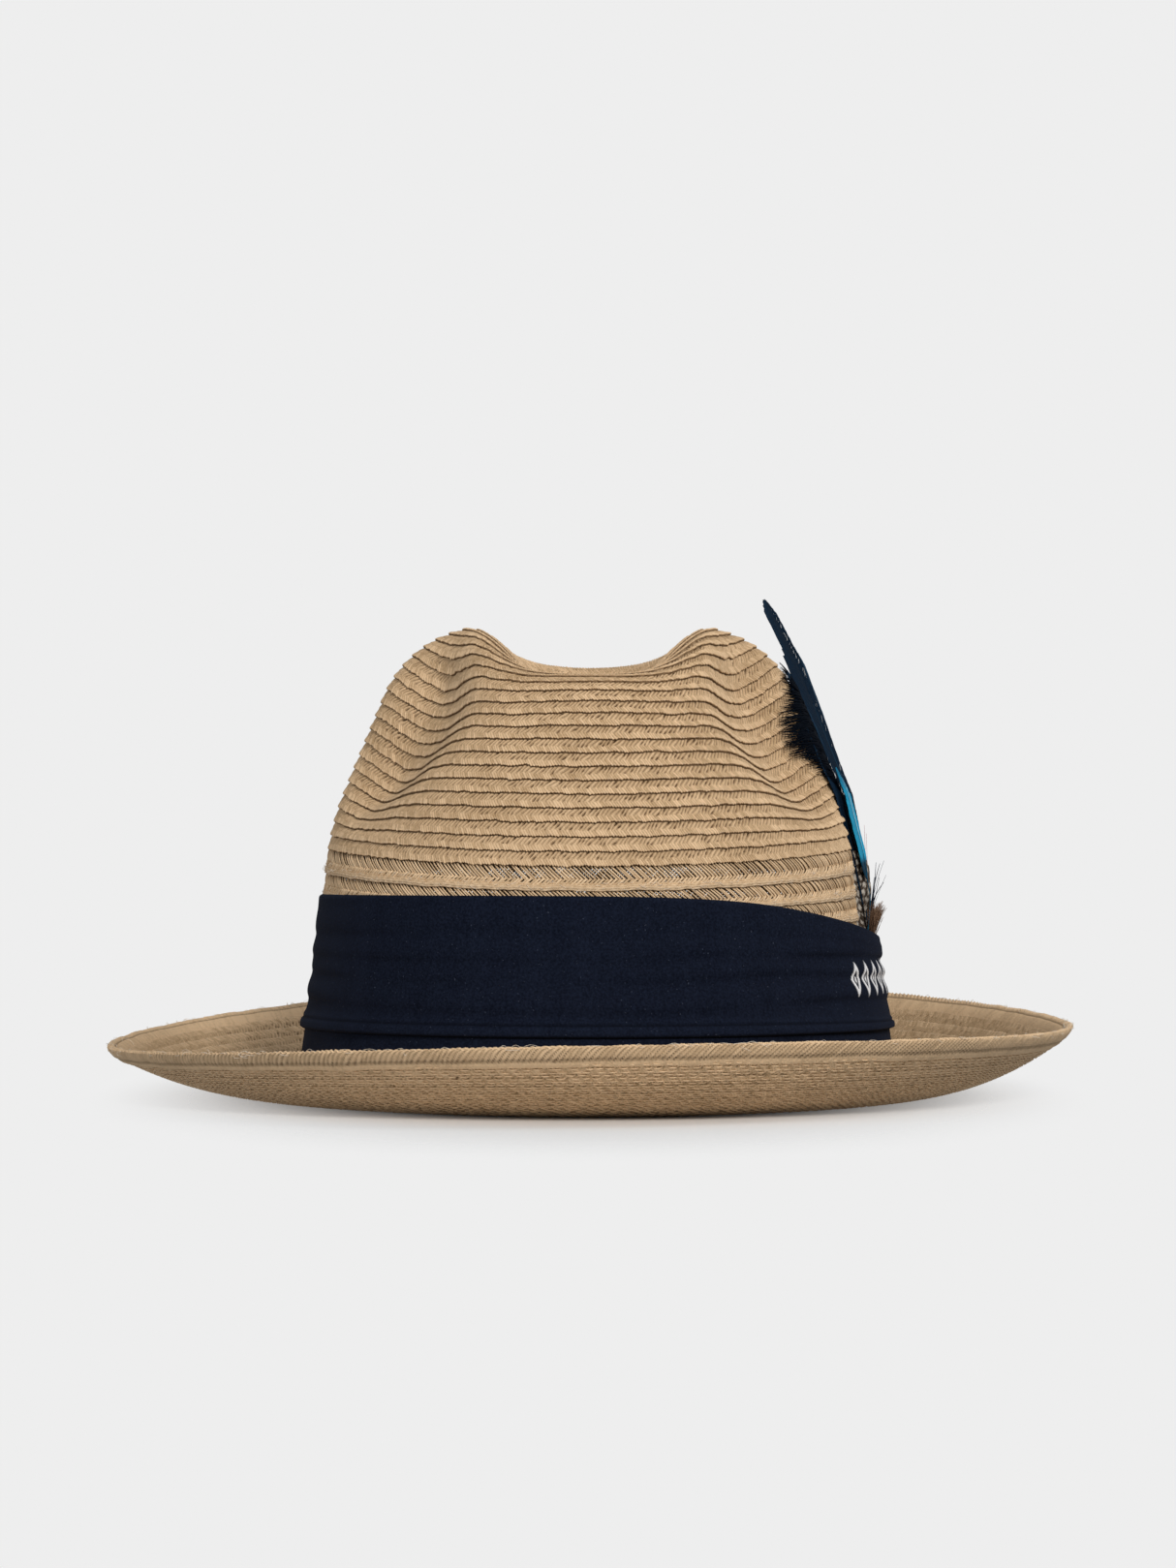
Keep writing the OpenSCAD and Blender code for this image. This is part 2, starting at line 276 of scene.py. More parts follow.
# ---------------------------------------------------------------- materials
class Paint:
    """The shader nodes of one material, with its plain numbers on the shader's own sockets."""

    def __init__(self, name, roughness, **sockets):
        self.material = bpy.data.materials.new(name)
        self.material.use_nodes = True
        self.nodes = self.material.node_tree.nodes
        self.links = self.material.node_tree.links
        self.shader = self.nodes["Principled BSDF"]
        self.shader.inputs["Roughness"].default_value = roughness
        for socket, value in sockets.items():
            self.shader.inputs[socket.replace("_", " ")].default_value = value

    def noise(self, scale, detail=2.0, stretch=None):
        """Noise in the piece's own space; scale is lumps a metre."""
        place = self.nodes.new("ShaderNodeTexCoord").outputs["Object"]
        texture = self.nodes.new("ShaderNodeTexNoise")
        texture.inputs["Scale"].default_value = scale
        texture.inputs["Detail"].default_value = detail
        if stretch:
            mapping = self.nodes.new("ShaderNodeMapping")
            mapping.inputs["Scale"].default_value = stretch
            self.links.new(place, mapping.inputs["Vector"])
            place = mapping.outputs["Vector"]
        self.links.new(place, texture.inputs["Vector"])
        return texture.outputs["Fac"]

    def add(self, first, second):
        node = self.nodes.new("ShaderNodeMath")
        node.operation = "ADD"
        self.links.new(first, node.inputs[0])
        self.links.new(second, node.inputs[1])
        return node.outputs[0]

    def spread(self, value, low, high, start=0.3, end=0.7):
        """Maps start to end, the middle of a noise's range if not given, onto low to high."""
        node = self.nodes.new("ShaderNodeMapRange")
        for socket, number in (("From Min", start), ("From Max", end), ("To Min", low), ("To Max", high)):
            node.inputs[socket].default_value = number
        self.links.new(value, node.inputs["Value"])
        return node.outputs["Result"]

    def ramp(self, value, stops):
        """Colour ramp through (place, colour) stops."""
        node = self.nodes.new("ShaderNodeValToRGB")
        elements = node.color_ramp.elements
        while len(elements) < len(stops):
            elements.new(0.5)
        for element, (place, colour) in zip(elements, stops):
            element.position = place
            element.color = (*colour, 1)
        self.links.new(value, node.inputs["Fac"])
        return node.outputs["Color"]

    def mixed(self, share, first, second):
        """The colour of socket first, and where share is 1 the plain colour second."""
        node = self.nodes.new("ShaderNodeMix")
        node.data_type = "RGBA"
        self.links.new(share, node.inputs["Factor"])
        self.links.new(first, node.inputs[6])
        node.inputs[7].default_value = (*second, 1)
        return node.outputs[2]

    def weave_parts(self):
        """The three numbers that the mesh code leaves on each point."""
        attribute = self.nodes.new("ShaderNodeAttribute")
        attribute.attribute_name = "weave"
        parts = self.nodes.new("ShaderNodeSeparateColor")
        self.links.new(attribute.outputs["Color"], parts.inputs["Color"])
        return parts.outputs[0], parts.outputs[1], parts.outputs[2]

    def finish(self, colour, grain, smoothest, roughest, bump=None):
        """Colour and grained roughness onto the shader, and a bump of the grain in metres."""
        self.links.new(colour, self.shader.inputs["Base Color"])
        self.links.new(self.spread(grain, smoothest, roughest), self.shader.inputs["Roughness"])
        if bump:
            node = self.nodes.new("ShaderNodeBump")
            node.inputs["Distance"].default_value = bump
            node.inputs["Strength"].default_value = 1.0
            self.links.new(grain, node.inputs["Height"])
            self.links.new(node.outputs["Normal"], self.shader.inputs["Normal"])
        return self.material


def straw_material(name, dark, light, gap, fuzz):
    """Plaited straw: strands' own tones, painted shade in the gaps, fine fibres."""
    paint = Paint(name, 0.7, Specular_IOR_Level=0.25)
    tone, painted_shade, pale = paint.weave_parts()
    fibre = paint.noise(1500, 3)
    tone = paint.add(tone, paint.spread(fibre, -0.16, 0.16))
    tone = paint.add(tone, paint.spread(paint.noise(45, 2), -0.07, 0.07))
    middle = tuple((a + b) / 2 for a, b in zip(dark, light))
    colour = paint.ramp(tone, [(0.0, dark), (0.5, middle), (1.0, light)])
    colour = paint.mixed(pale, colour, fuzz)
    # Painted shade: the gap colour in the grooves, pits and under the row lips
    colour = paint.mixed(painted_shade, colour, gap)
    return paint.finish(colour, fibre, 0.62, 0.82, 0.00012)


def cloth_material(name, dark, light, specks):
    """Fine navy twill with a soft grain and faint specks."""
    paint = Paint(name, 0.95, Specular_IOR_Level=0.04, Sheen_Weight=0.015, Sheen_Roughness=0.5,
                  Sheen_Tint=(0.45, 0.55, 0.9, 1))
    tone, painted_shade, mark = paint.weave_parts()
    grain = paint.noise(1500, 2)
    slubs = paint.noise(500, 3, (1, 1, 0.35))
    shade = paint.add(paint.spread(grain, -0.15, 0.5), tone)
    shade = paint.add(shade, paint.spread(slubs, -0.06, 0.06))
    colour = paint.ramp(shade, [(0.1, dark), (0.9, light)])
    lint = paint.ramp(paint.noise(1700, 0), [(0.8, (0, 0, 0)), (0.84, (0.3, 0.3, 0.3))])
    colour = paint.mixed(lint, colour, specks)
    colour = paint.mixed(mark, colour, (0.9, 0.9, 0.91))
    # Painted shade in the creases, the hem's groove and the keeper's stitch dents
    colour = paint.mixed(painted_shade, colour, (0.001, 0.001, 0.002))
    return paint.finish(colour, grain, 0.7, 0.92, 0.0001)


def feather_material(name, stops, spot, roughness=0.6, specular=0.03):
    """Barbs: colour by the point's tone, with a second colour where spots are marked."""
    paint = Paint(name, roughness, Specular_IOR_Level=specular)
    tone, painted_shade, mark = paint.weave_parts()
    streak = paint.noise(1400, 2)
    colour = paint.ramp(paint.add(tone, paint.spread(streak, -0.1, 0.1)), stops)
    colour = paint.mixed(mark, colour, spot)
    # Painted shade, darker than the first stop, on the black down beside the short plume
    colour = paint.mixed(painted_shade, colour, tuple(0.3 * c for c in stops[0][1]))
    return paint.finish(colour, streak, roughness - 0.08, roughness + 0.12)


def plain_material(name, dark, light, scale, roughness, metallic=0.0, stretch=None):
    """A two-tone grained finish for sweatband, pin, reed and thread."""
    paint = Paint(name, roughness, Metallic=metallic)
    grain = paint.noise(scale, 3, stretch)
    colour = paint.ramp(grain, [(0.3, dark), (0.7, light)])
    return paint.finish(colour, grain, roughness - 0.1, roughness + 0.1)


STRAW_DARK = (0.4, 0.25, 0.12)
STRAW_LIGHT = (0.88, 0.62, 0.375)
# Colour of the painted shade in the straw's grooves, pits and under its lips
STRAW_PAINTED_SHADE = (0.075, 0.036, 0.011)
straw = straw_material("straw", STRAW_DARK, STRAW_LIGHT, STRAW_PAINTED_SHADE, (0.85, 0.75, 0.6))
straw_open = straw_material("straw_open", STRAW_DARK, (0.92, 0.67, 0.42),
                            STRAW_PAINTED_SHADE, (0.9, 0.83, 0.72))
band_cloth = cloth_material("band_cloth", (0.0035, 0.0052, 0.0125), (0.012, 0.017, 0.034),
                            (0.12, 0.14, 0.2))
sweat_cloth = plain_material("sweatband_ribbon", (0.02, 0.017, 0.015), (0.045, 0.039, 0.035), 900, 0.8)
reed_plastic = plain_material("reed_plastic", (0.015, 0.015, 0.017), (0.03, 0.03, 0.033), 400, 0.6)
pin_steel = plain_material("pin_steel", (0.42, 0.42, 0.43), (0.66, 0.66, 0.67), 300, 0.35, 1.0,
                           (1, 1, 0.05))
thread = plain_material("binding_thread", (0.006, 0.006, 0.008), (0.022, 0.021, 0.024), 1200, 0.55)
navy = feather_material("feather_navy", [(0.0, (0.0015, 0.0045, 0.012)), (0.5, (0.005, 0.02, 0.043)),
                                         (1.0, (0.025, 0.085, 0.15))], (0.3, 0.4, 0.5))
# The turquoise's pale spot colour is a painted highlight streak
turquoise = feather_material("feather_turquoise", [(0.0, (0.002, 0.03, 0.06)), (0.5, (0.004, 0.2, 0.36)),
                                                   (1.0, (0.02, 0.42, 0.66))], (0.62, 0.85, 0.9), 0.5, 0.1)
dark = feather_material("feather_dark", [(0.0, (0.004, 0.003, 0.003)), (0.5, (0.012, 0.009, 0.008)),
                                         (1.0, (0.1, 0.07, 0.05))], (0.62, 0.56, 0.48), 0.5)
brown = feather_material("feather_brown", [(0.0, (0.035, 0.02, 0.013)), (0.5, (0.12, 0.07, 0.045)),
                                           (1.0, (0.32, 0.2, 0.13))], (0.5, 0.4, 0.3), 0.7)
wisp = feather_material("feather_wisp", [(0.0, (0.004, 0.005, 0.008)), (0.5, (0.012, 0.016, 0.028)),
                                         (1.0, (0.06, 0.08, 0.12))], (0.3, 0.35, 0.4), 0.5)
pink = feather_material("feather_pink", [(0.0, (0.16, 0.02, 0.03)), (0.5, (0.4, 0.07, 0.09)),
                                         (1.0, (0.62, 0.2, 0.2))], (0.7, 0.4, 0.4), 0.6)

# ---------------------------------------------------------------- sewn braid
# One row of braid, from under the row before to its own rolled lip: share of the row, height.
ROW_SHARE = np.array([0.0, 0.035, 0.09, 0.17, 0.26, 0.35, 0.44, 0.53, 0.62, 0.71, 0.8, 0.88,
                      0.945, 0.985, 1.01, 1.005])
ROW_RISE = np.array([-0.74, -0.6, -0.5, -0.4, -0.3, -0.2, -0.12, -0.06, 0.02, 0.1, 0.18, 0.27,
                     0.32, 0.26, 0.02, -0.4])
PLAIN_SHARE = np.array([0.0, 0.08, 0.35, 0.65, 0.92, 1.0])
PLAIN_RISE = np.array([-0.6, -0.3, -0.1, 0.05, 0.25, 0.0])


def arc_share(surface, t, s):
    """Share of the ring's length passed at each angle."""
    around = surface(np.append(t, t[0] + TURN), np.full(len(t) + 1, s))
    lengths = np.linalg.norm(np.diff(around, axis=0), axis=-1)
    total = lengths.sum()
    return (np.cumsum(lengths) - lengths) / total, total


def strand_marks(rng, phase, count):
    """(bump from -1 to 1, random number of the strand) at a phase counted in strands."""
    own = rng.random(count)
    index = np.floor(phase).astype(int) % count
    return np.cos(TURN * (phase - 0.5)), own[index]


def braid_row(rng, surface, t, edge_low, edge_high, pitch, relief, share, rise, depth):
    """One row of plait between two wavy edges: points and (tone, painted shade, fuzz) by point."""
    arc, total = arc_share(surface, t, float(np.mean(edge_low + edge_high)) / 2)
    count = max(12, int(total / pitch))
    width = abs(float(np.mean(edge_high - edge_low)))
    f = share[:, None]
    lean = 0.8 * width / pitch
    sway = 0.22 * ripple(rng, t, 20, 90)[None, :]
    upper = smooth((f - 0.04) / 0.06) * (1 - smooth((f - 0.5) / 0.08))
    lower = smooth((f - 0.52) / 0.07) * (1 - smooth((f - 0.93) / 0.05))
    groove = count * arc[None, :] + lean * f + sway
    over, own = strand_marks(rng, groove, count)
    finer = int(count * 1.65)
    under, own_finer = strand_marks(rng, finer * arc[None, :] - lean * f * 1.2 + sway, finer)
    # Pits where the grooves between the upper strands run out
    nearest = np.round(groove).astype(int) % count
    deep = rng.random(count)[nearest]
    deep = (0.4 + 0.6 * deep) * (deep > 0.35)
    deep = deep * smooth(0.85 + 0.5 * ripple(rng, t, 6, 40))[None, :]
    start = rng.choice([0.16, 0.3, 0.46, 0.53], count)[nearest]
    reach = (0.06 + 0.08 * rng.random(count))[nearest]
    pit = deep * bell(groove - np.round(groove), 0.27) * np.exp(-(((f - start) / reach) ** 4))
    strand_groove = smooth((-over - 0.1) / 0.8)
    # The lip is scalloped where each strand turns over it
    edge = smooth((f - 0.84) / 0.12)
    s = edge_low + (edge_high - edge_low) * f
    s = s + 0.17 * edge * under + 0.34 * edge * (own_finer - 0.5)
    base = surface(t[None, :], s)
    up = normal_of(surface, t[None, :], s)
    rise_here = rise[:, None] + 0.06 * edge * under + relief * (
        upper * (0.24 * over + 0.16 * (own - 0.5)) + lower * (0.14 * under + 0.14 * (own_finer - 0.5))
        - 0.8 * pit)
    points = base + up * rise_here[..., None]
    tuck = 1 - smooth((f - 0.02) / 0.08)
    lip = smooth((f - 0.99) / 0.02)
    # Painted shade: under the lip and in the tuck (scaled by depth), in the pits and between the strands
    gap = (depth * (0.8 + 0.45 * own_finer) * np.maximum(tuck, lip) + 0.85 * pit + 0.6 * relief * upper * strand_groove
           + 0.3 * relief * lower * smooth((-under - 0.3) / 0.6))
    tone = (0.56 + 0.3 * upper * (own - 0.5) + 0.6 * lower * (own_finer - 0.5) + 0.12 * upper * over
            + 0.12 * lower * under - 0.02 * upper + 0.04 * lower + 0.1 * edge
            + 0.04 * rng.normal() + 0.05 * ripple(rng, t, 3, 20)[None, :] + 0 * f)
    fuzz = 0.14 * smooth((f - 0.86) / 0.08) * (1 - lip) * smooth(ripple(rng, t, 60, 200))[None, :]
    tints = np.stack(np.broadcast_arrays(tone, np.clip(gap, 0, 1), fuzz), axis=-1)
    return points, tints


def braid(rng, surface, edges, columns, pitch=1.37, relief=1.0, waviness=0.15,
          share=ROW_SHARE, rise=ROW_RISE, end_waves=True, depth=0.8):
    """Rows of plait over a surface, between the distances in edges."""
    t = angles(columns)
    waves = [waviness * (ripple(rng, t, 5, 60) + 0.5 * ripple(rng, t, 60, 160)) for _ in edges]
    if not end_waves:
        waves[0] = 0 * t
        waves[-1] = 0 * t
    rows = [braid_row(rng, surface, t, edges[k] + waves[k], edges[k + 1] + waves[k + 1], pitch,
                      relief, share, rise, depth) for k in range(len(edges) - 1)]
    return np.concatenate([r[0] for r in rows]), np.concatenate([r[1] for r in rows])


def shell(outer, inner, columns, inner_columns):
    """Faces that close a fine outer stack of rings with a coarse inner one walked backwards."""
    outer_rings = outer.shape[0]
    inner_first = outer_rings * columns
    inner_rings = inner.shape[0]
    faces = [ring_faces(outer_rings, columns), ring_faces(inner_rings, inner_columns, inner_first)]
    if columns == inner_columns:
        faces.append(bridge((outer_rings - 1) * columns, inner_first, columns))
        faces.append(bridge(inner_first + (inner_rings - 1) * columns, 0, columns))
        return faces
    faces.append(join_rings((outer_rings - 1) * columns, inner_first, columns, inner_columns))
    back = join_rings(0, inner_first + (inner_rings - 1) * inner_columns, columns, inner_columns)
    faces.append(back[:, ::-1])
    return faces


def toned(shape, tone):
    """Tints of one tone, with no painted shade and no marks."""
    tints = np.zeros(shape)
    tints[..., 0] = tone
    return tints


def oval_cap(first, columns, flip):
    """Cap across an oval ring that is a mirror image about x = 0."""
    quarter = columns // 4
    i = np.arange(-quarter, quarter - 1)
    mirror = columns // 2 - 1
    cap = np.stack([first + i % columns, first + (i + 1) % columns,
                    first + (mirror - i - 1) % columns, first + (mirror - i) % columns], axis=-1)
    return cap[:, ::-1] if flip else cap


def both_faces(outer, inner):
    return np.concatenate([outer.reshape(-1, 3), inner.reshape(-1, 3)])


def straw_shell(name, node, seed, length, edges, columns, inner_columns, inner_waviness=0.15,
                capped=False, **style):
    """A node of the crown as rows of plait outside and plainer rows inside."""
    rng = np.random.default_rng(seed)
    outer, outer_tints = braid(rng, crown, edges, columns, **style)
    inside = turned_over(crown, length, straw_t * 0.75)
    inner_edges = [length - e for e in reversed(edges)]
    inner, inner_tints = braid(rng, inside, inner_edges, inner_columns, relief=0.5,
                               share=PLAIN_SHARE, rise=PLAIN_RISE, waviness=inner_waviness)
    faces = shell(outer, inner, columns, inner_columns)
    if capped:
        inner_last = (outer.shape[0] + inner.shape[0] - 1) * columns
        faces = faces[:3] + [oval_cap(0, columns, False), oval_cap(inner_last, columns, True)]
    piece = add_piece(name, both_faces(outer, inner), faces, straw, "hat",
                      both_faces(outer_tints, inner_tints))
    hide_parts(node)


CROWN_COLUMNS = 2240
TIP_ROWS = 8
COIL_START = 0.35


def tip_coil():
    """The first rounds of braid over the top, closed in the middle."""
    columns = CROWN_COLUMNS // 2
    edges = [COIL_START] + [row_pitch * k for k in range(1, TIP_ROWS + 1)]
    straw_shell("tip_coil_rows", "crown_tip_coil", 11, edges[-1] + COIL_START, edges, columns,
                columns, 0.05, True, waviness=0.1)


def crown_rows():
    edges = [row_pitch * k for k in range(TIP_ROWS, 29)]
    straw_shell("crown_rows", "crown_braid", 12, vent_s + edges[0], edges, CROWN_COLUMNS,
                CROWN_COLUMNS // 4)


def crown_base_rows():
    """The rows behind the band, down to the brim."""
    foot_s = float(np.interp(-foot_z, -PROFILE_Z, PROFILE_S))
    count = 8
    edges = [base_s + (foot_s - base_s) * k / count for k in range(count + 1)]
    straw_shell("crown_base_rows", "crown_base_braid", 13, foot_s + base_s, edges, 800, 400,
                relief=0.7, end_waves=False)


tip_coil()
crown_rows()
crown_base_rows()


# ---------------------------------------------------------------- open-weave rows
class Straws(Ribbons):
    """Ribbons laid on a surface of angle and distance."""

    def lay(self, surface, t, s, out, half_w, half_t, tone, gap=None, fuzz=None):
        """t, s and out are (n, m) routes; half sizes and tones broadcast to them; gap carries painted shade.
        """
        t, s, out, half_w, half_t, tone = np.broadcast_arrays(t, s, out, half_w, half_t, tone)
        up = normal_of(surface, t, s)
        middle = surface(t, s) + up * out[..., None]
        run = np.gradient(middle, axis=1)
        across = unit(np.cross(up, run))
        none = np.zeros_like(tone)
        tint = np.stack([tone, none if gap is None else gap + none,
                         none if fuzz is None else fuzz + none], axis=-1)
        self.add(middle, across, unit(np.cross(run, across)), half_w, half_t, tint)


def vent_row(k):
    """A row of open plait: slanting straws with see-through slots, and a close selvage."""
    rng = np.random.default_rng(20 + k)
    top = vent_s + (k - 1) * vent_pitch
    straws = Straws()
    around = TURN * np.mean(width_at(np.array([70.0, 55.0])) + oval_extra / 2)
    count = int(around / 1.35)
    stations = 7
    j = np.linspace(0, 1, stations)[None, :]
    place = TURN * (np.arange(count) + 0.3 * rng.normal(size=count) * 0.35) / count
    one = TURN / count
    open_here = smooth(0.35 + 0.75 * ripple(rng, place, 4, 26) + 0.3 * ripple(rng, place, 40, 120))
    thin = 0.33 - 0.13 * open_here * rng.random(count) ** 0.5
    turn_s = 0.57 * vent_pitch
    tone = 0.68 + 0.5 * (rng.random(count) - 0.5)
    # Upper straws lean back, "\", down to where the plait turns
    s = top + 0.1 + turn_s * j
    t = place[:, None] + one * 3.6 * j
    lift = -0.75 + 0.75 * np.sin(math.pi * (0.15 + 0.7 * j)) + 0.12 * rng.normal(size=(count, 1))
    # Painted shade at the top of each upper straw, where it comes out from under the row before
    shade = 0.3 * (1 - smooth(j / 0.14)) + 0 * t
    straws.lay(crown, t, s, lift, thin[:, None] * (0.8 + 0.3 * j), 0.16,
               tone[:, None] + 0.12 * (j - 0.5), shade)
    # Lower straws lean forward, "/", into the selvage
    s = top + turn_s - 0.35 + (vent_pitch * 0.3) * j
    t = place[:, None] + one * (3.7 - 1.9 * j) + one * 0.5
    lift = -0.35 + 0.45 * np.sin(math.pi * (0.2 + 0.6 * j)) + 0.08 * rng.normal(size=(count, 1))
    straws.lay(crown, t, s, lift, 0.36 + 0 * t, 0.17, tone[::-1, None] + 0 * t)
    # Straws of the plait's other side, seen through the slots, painted dark as shade
    place = place + one * 0.5
    s = top + turn_s * 1.1 * j
    t = place[:, None] - one * 3.2 * j
    straws.lay(crown, t, s, -1.0 + 0.1 * np.sin(TURN * j) + 0 * t, 0.19 + 0 * t, 0.12,
               0.1 + 0.4 * rng.random((count, 1)) + 0 * t, 0.7 + 0 * t)
    # Selvage: close straws that run round the hat, ending in the row's rolled lip
    columns = 900
    ring = TURN * np.arange(columns + 1) / columns
    wave = 0.14 * ripple(rng, ring, 5, 60) + 0.08 * ripple(rng, ring, 60, 160)
    low = top + vent_pitch
    for depth, half, rise, pale in ((2.0, 0.42, -0.1, 0.0), (1.35, 0.44, 0.12, 0.02),
                                    (0.7, 0.46, 0.28, 0.05), (0.12, 0.36, 0.2, 0.08)):
        s = (low - depth + wave)[None, :]
        twist = 0.06 * np.sin(ring * count * 0.5 + depth * 3)[None, :]
        tone_here = 0.52 + 0.14 * ripple(rng, ring, 60, 240)[None, :]
        fuzz = pale * (1 + smooth(ripple(rng, ring, 30, 160)[None, :]))
        straws.lay(crown, ring[None, :], s, rise + twist, half, 0.28, tone_here, None, fuzz)
    # Backing just under the row before, painted dark as shade
    s = (top + 0.12 + wave)[None, :]
    straws.lay(crown, ring[None, :], s, -1.2 + 0 * s, 0.3, 0.2, 0.1, 0.9 + 0 * s)
    fibres(straws, rng, crown, 160, low - 1.3, 1.2, 0.3)
    piece = straws.piece(f"vent_plait_{k}", straw_open, "hat", "straw_open")
    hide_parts(f"vent_braid_{k}")


def fibres(straws, rng, surface, count, middle_s, spread_s, out):
    """Loose pale fibres that stand off the straw."""
    stations = 5
    j = np.linspace(0, 1, stations)[None, :]
    t0 = rng.uniform(0, TURN, count)[:, None]
    s0 = middle_s + spread_s * rng.uniform(-1, 1, count)[:, None]
    turn = rng.uniform(-1, 1, count)[:, None]
    length = rng.uniform(1.2, 3.6, count)[:, None]
    bend = rng.uniform(-1.2, 1.2, count)[:, None]
    t = t0 + length * np.cos(turn) * j / 100 + 0.004 * bend * j * j
    s = s0 + length * np.sin(turn) * j * 0.6 + bend * j * j * 0.5
    rise = out + rng.uniform(0.2, 0.9, count)[:, None] * np.sin(math.pi * j)
    straws.lay(surface, t, s, rise, 0.05, 0.04, 0.9, None, 0.8)


# ---------------------------------------------------------------- brim
BRIM_COLUMNS = 2160
brim_inner = -0.4      # the brim starts just inside the crown's foot, so that no slit shows
brim_outer = (1 - edge_share) * brim_w


def brim_rows():
    """Rows of plait over and under the brim, with the thread that sews them."""
    rng = np.random.default_rng(31)
    count = 13
    edges = [brim_inner + (brim_outer + 0.6 - brim_inner) * k / count for k in range(count + 1)]
    top, top_tints = braid(rng, brim, edges, BRIM_COLUMNS, relief=0.8, waviness=0.12,
                           rise=ROW_RISE * 0.7 - 0.1)
    length = brim_outer + 0.6 + brim_inner
    under = turned_over(brim, length, straw_t)
    # The underside gets weaker painted shade under its lips (depth 0.25)
    low, low_tints = braid(rng, under, [length - e for e in reversed(edges)], BRIM_COLUMNS,
                           pitch=1.4, relief=0.6, waviness=0.1, rise=ROW_RISE * 0.2 - 0.1, depth=0.25)
    points = both_faces(top, low)
    # The brim never sinks below the surface that it stands on
    points[:, 2] = np.maximum(points[:, 2], 0.02)
    piece = add_piece("brim_rows", points, shell(top, low, BRIM_COLUMNS, BRIM_COLUMNS), straw,
                      "hat", both_faces(top_tints, low_tints))
    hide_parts("brim_braid")
    stitches(under, [length - e + 0.3 + gap for e in edges[1:] for gap in (0.0, 1.45, 2.9)])


def stitches(surface, lines):
    """Machine stitches that sew each row to the next."""
    rng = np.random.default_rng(32)
    sewn = Straws()
    j = np.linspace(0, 1, 4)[None, :]
    for s in lines:
        total = arc_share(surface, angles(400), s)[1]
        count = int(total / 3.3)
        t0 = TURN * (np.arange(count) + 0.12 * rng.normal(size=count))[:, None] / count
        t = t0 + TURN * 0.8 / count * j
        off = 0.08 * rng.normal(size=(count, 1)) + 0.08 * j
        rise = -0.12 + 0.3 * np.sin(math.pi * j) ** 0.5 + 0 * t
        tone = 0.7 + 0.25 * rng.random((count, 1)) + 0 * t
        sewn.lay(surface, t, s + off, rise, 0.19, 0.14, tone)
    for block in sewn.points:
        block[:, 2] = np.maximum(block[:, 2], 0.02)
    sewn.piece("brim_stitches", straw_open, "hat", "straw")


def edge_section(a):
    """Section of the doubled edge row: (distance from the crown, height over the brim's top)."""
    half = (brim_w - brim_outer) / 2 + 0.25
    return brim_w - half + 0.1 + half * np.cos(a), -1.1 + 1.62 * np.sin(a) * (1 - 0.25 * np.cos(a))


def edge_surface(t, a):
    """Surface of the edge row: a goes over it, in millimetres of section, from inside over the top."""
    t, a = np.broadcast_arrays(t, a)
    turn = math.pi - TURN * a / EDGE_GIRTH
    r, lift = edge_section(turn)
    point = brim(t, r)
    point[..., 2] += lift
    return point


EDGE_GIRTH = 12.0


def edge_row():
    """The herringbone row bound round the brim's edge, with its loose fibres."""
    rng = np.random.default_rng(33)
    columns = BRIM_COLUMNS
    t = angles(columns)
    stations = 34
    a = EDGE_GIRTH * np.arange(stations) / stations
    base = edge_surface(t[None, :], a[:, None])
    up = normal_of(edge_surface, t[None, :], a[:, None])
    share, total = arc_share(brim, t, brim_w)
    count = int(total / 1.7)
    f = (a / EDGE_GIRTH)[:, None]
    sway = 0.2 * ripple(rng, t, 20, 90)[None, :]
    outer_face = smooth((f - 0.3) / 0.06) * (1 - smooth((f - 0.72) / 0.06))
    fold = np.abs(f - 0.5)
    over, own = strand_marks(rng, count * share[None, :] + 9.0 * fold + sway, count)
    rows, own_row = strand_marks(rng, 1.5 * count * share[None, :] + 7.0 * f + sway, int(1.5 * count))
    bump = 0.34 * outer_face * over + 0.16 * (1 - outer_face) * rows + 0.12 * (own - 0.5)
    bump = bump - 0.3 * bell(f - 0.3, 0.02) - 0.3 * bell(f - 0.72, 0.02) + 0.12 * ripple(rng, t, 8, 60)
    points = base + up * bump[..., None]
    # Painted shade in the fold's two grooves and between the strands of the outer face
    gap = 0.75 * np.maximum(bell(f - 0.3, 0.016), bell(f - 0.72, 0.016)) + 0 * over
    gap = gap + 0.8 * outer_face * smooth((-over - 0.3) / 0.6) * (0.4 + 0.6 * own)
    tone = 0.95 + 0.4 * (own - 0.5) * outer_face + 0.35 * (own_row - 0.5) * (1 - outer_face) \
        + 0.1 * (1 - smooth(np.abs(f - 0.36) / 0.08)) + 0.05 * ripple(rng, t, 4, 30)[None, :]
    fuzz = 0.12 * (1 - smooth(np.abs(f - 0.36) / 0.07)) * smooth(ripple(rng, t, 60, 200))[None, :]
    tints = np.stack(np.broadcast_arrays(tone, np.clip(gap, 0, 1), fuzz), axis=-1)
    piece = hoop_piece("edge_row", points, straw, tints)
    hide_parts("brim_edge_braid")
    loose = Straws()
    fibres(loose, rng, edge_surface, 260, EDGE_GIRTH * 0.42, 1.6, 0.05)
    loose.piece("edge_fibres", straw_open, "hat", "straw")


# ---------------------------------------------------------------- inside of the crown
lining_out = -straw_t - 0.15       # the sweatband's outer face, 0.15 inside the straw


def hoop_piece(name, rings, material, tints=None):
    """A closed hoop through a loop of rings, (rings, columns, 3), in millimetres."""
    count, columns = rings.shape[:2]
    if tints is None:
        tints = toned(rings.shape, 0.5)
    faces = [ring_faces(count, columns), bridge((count - 1) * columns, 0, columns)]
    return add_piece(name, rings, faces, material, "hat", tints)


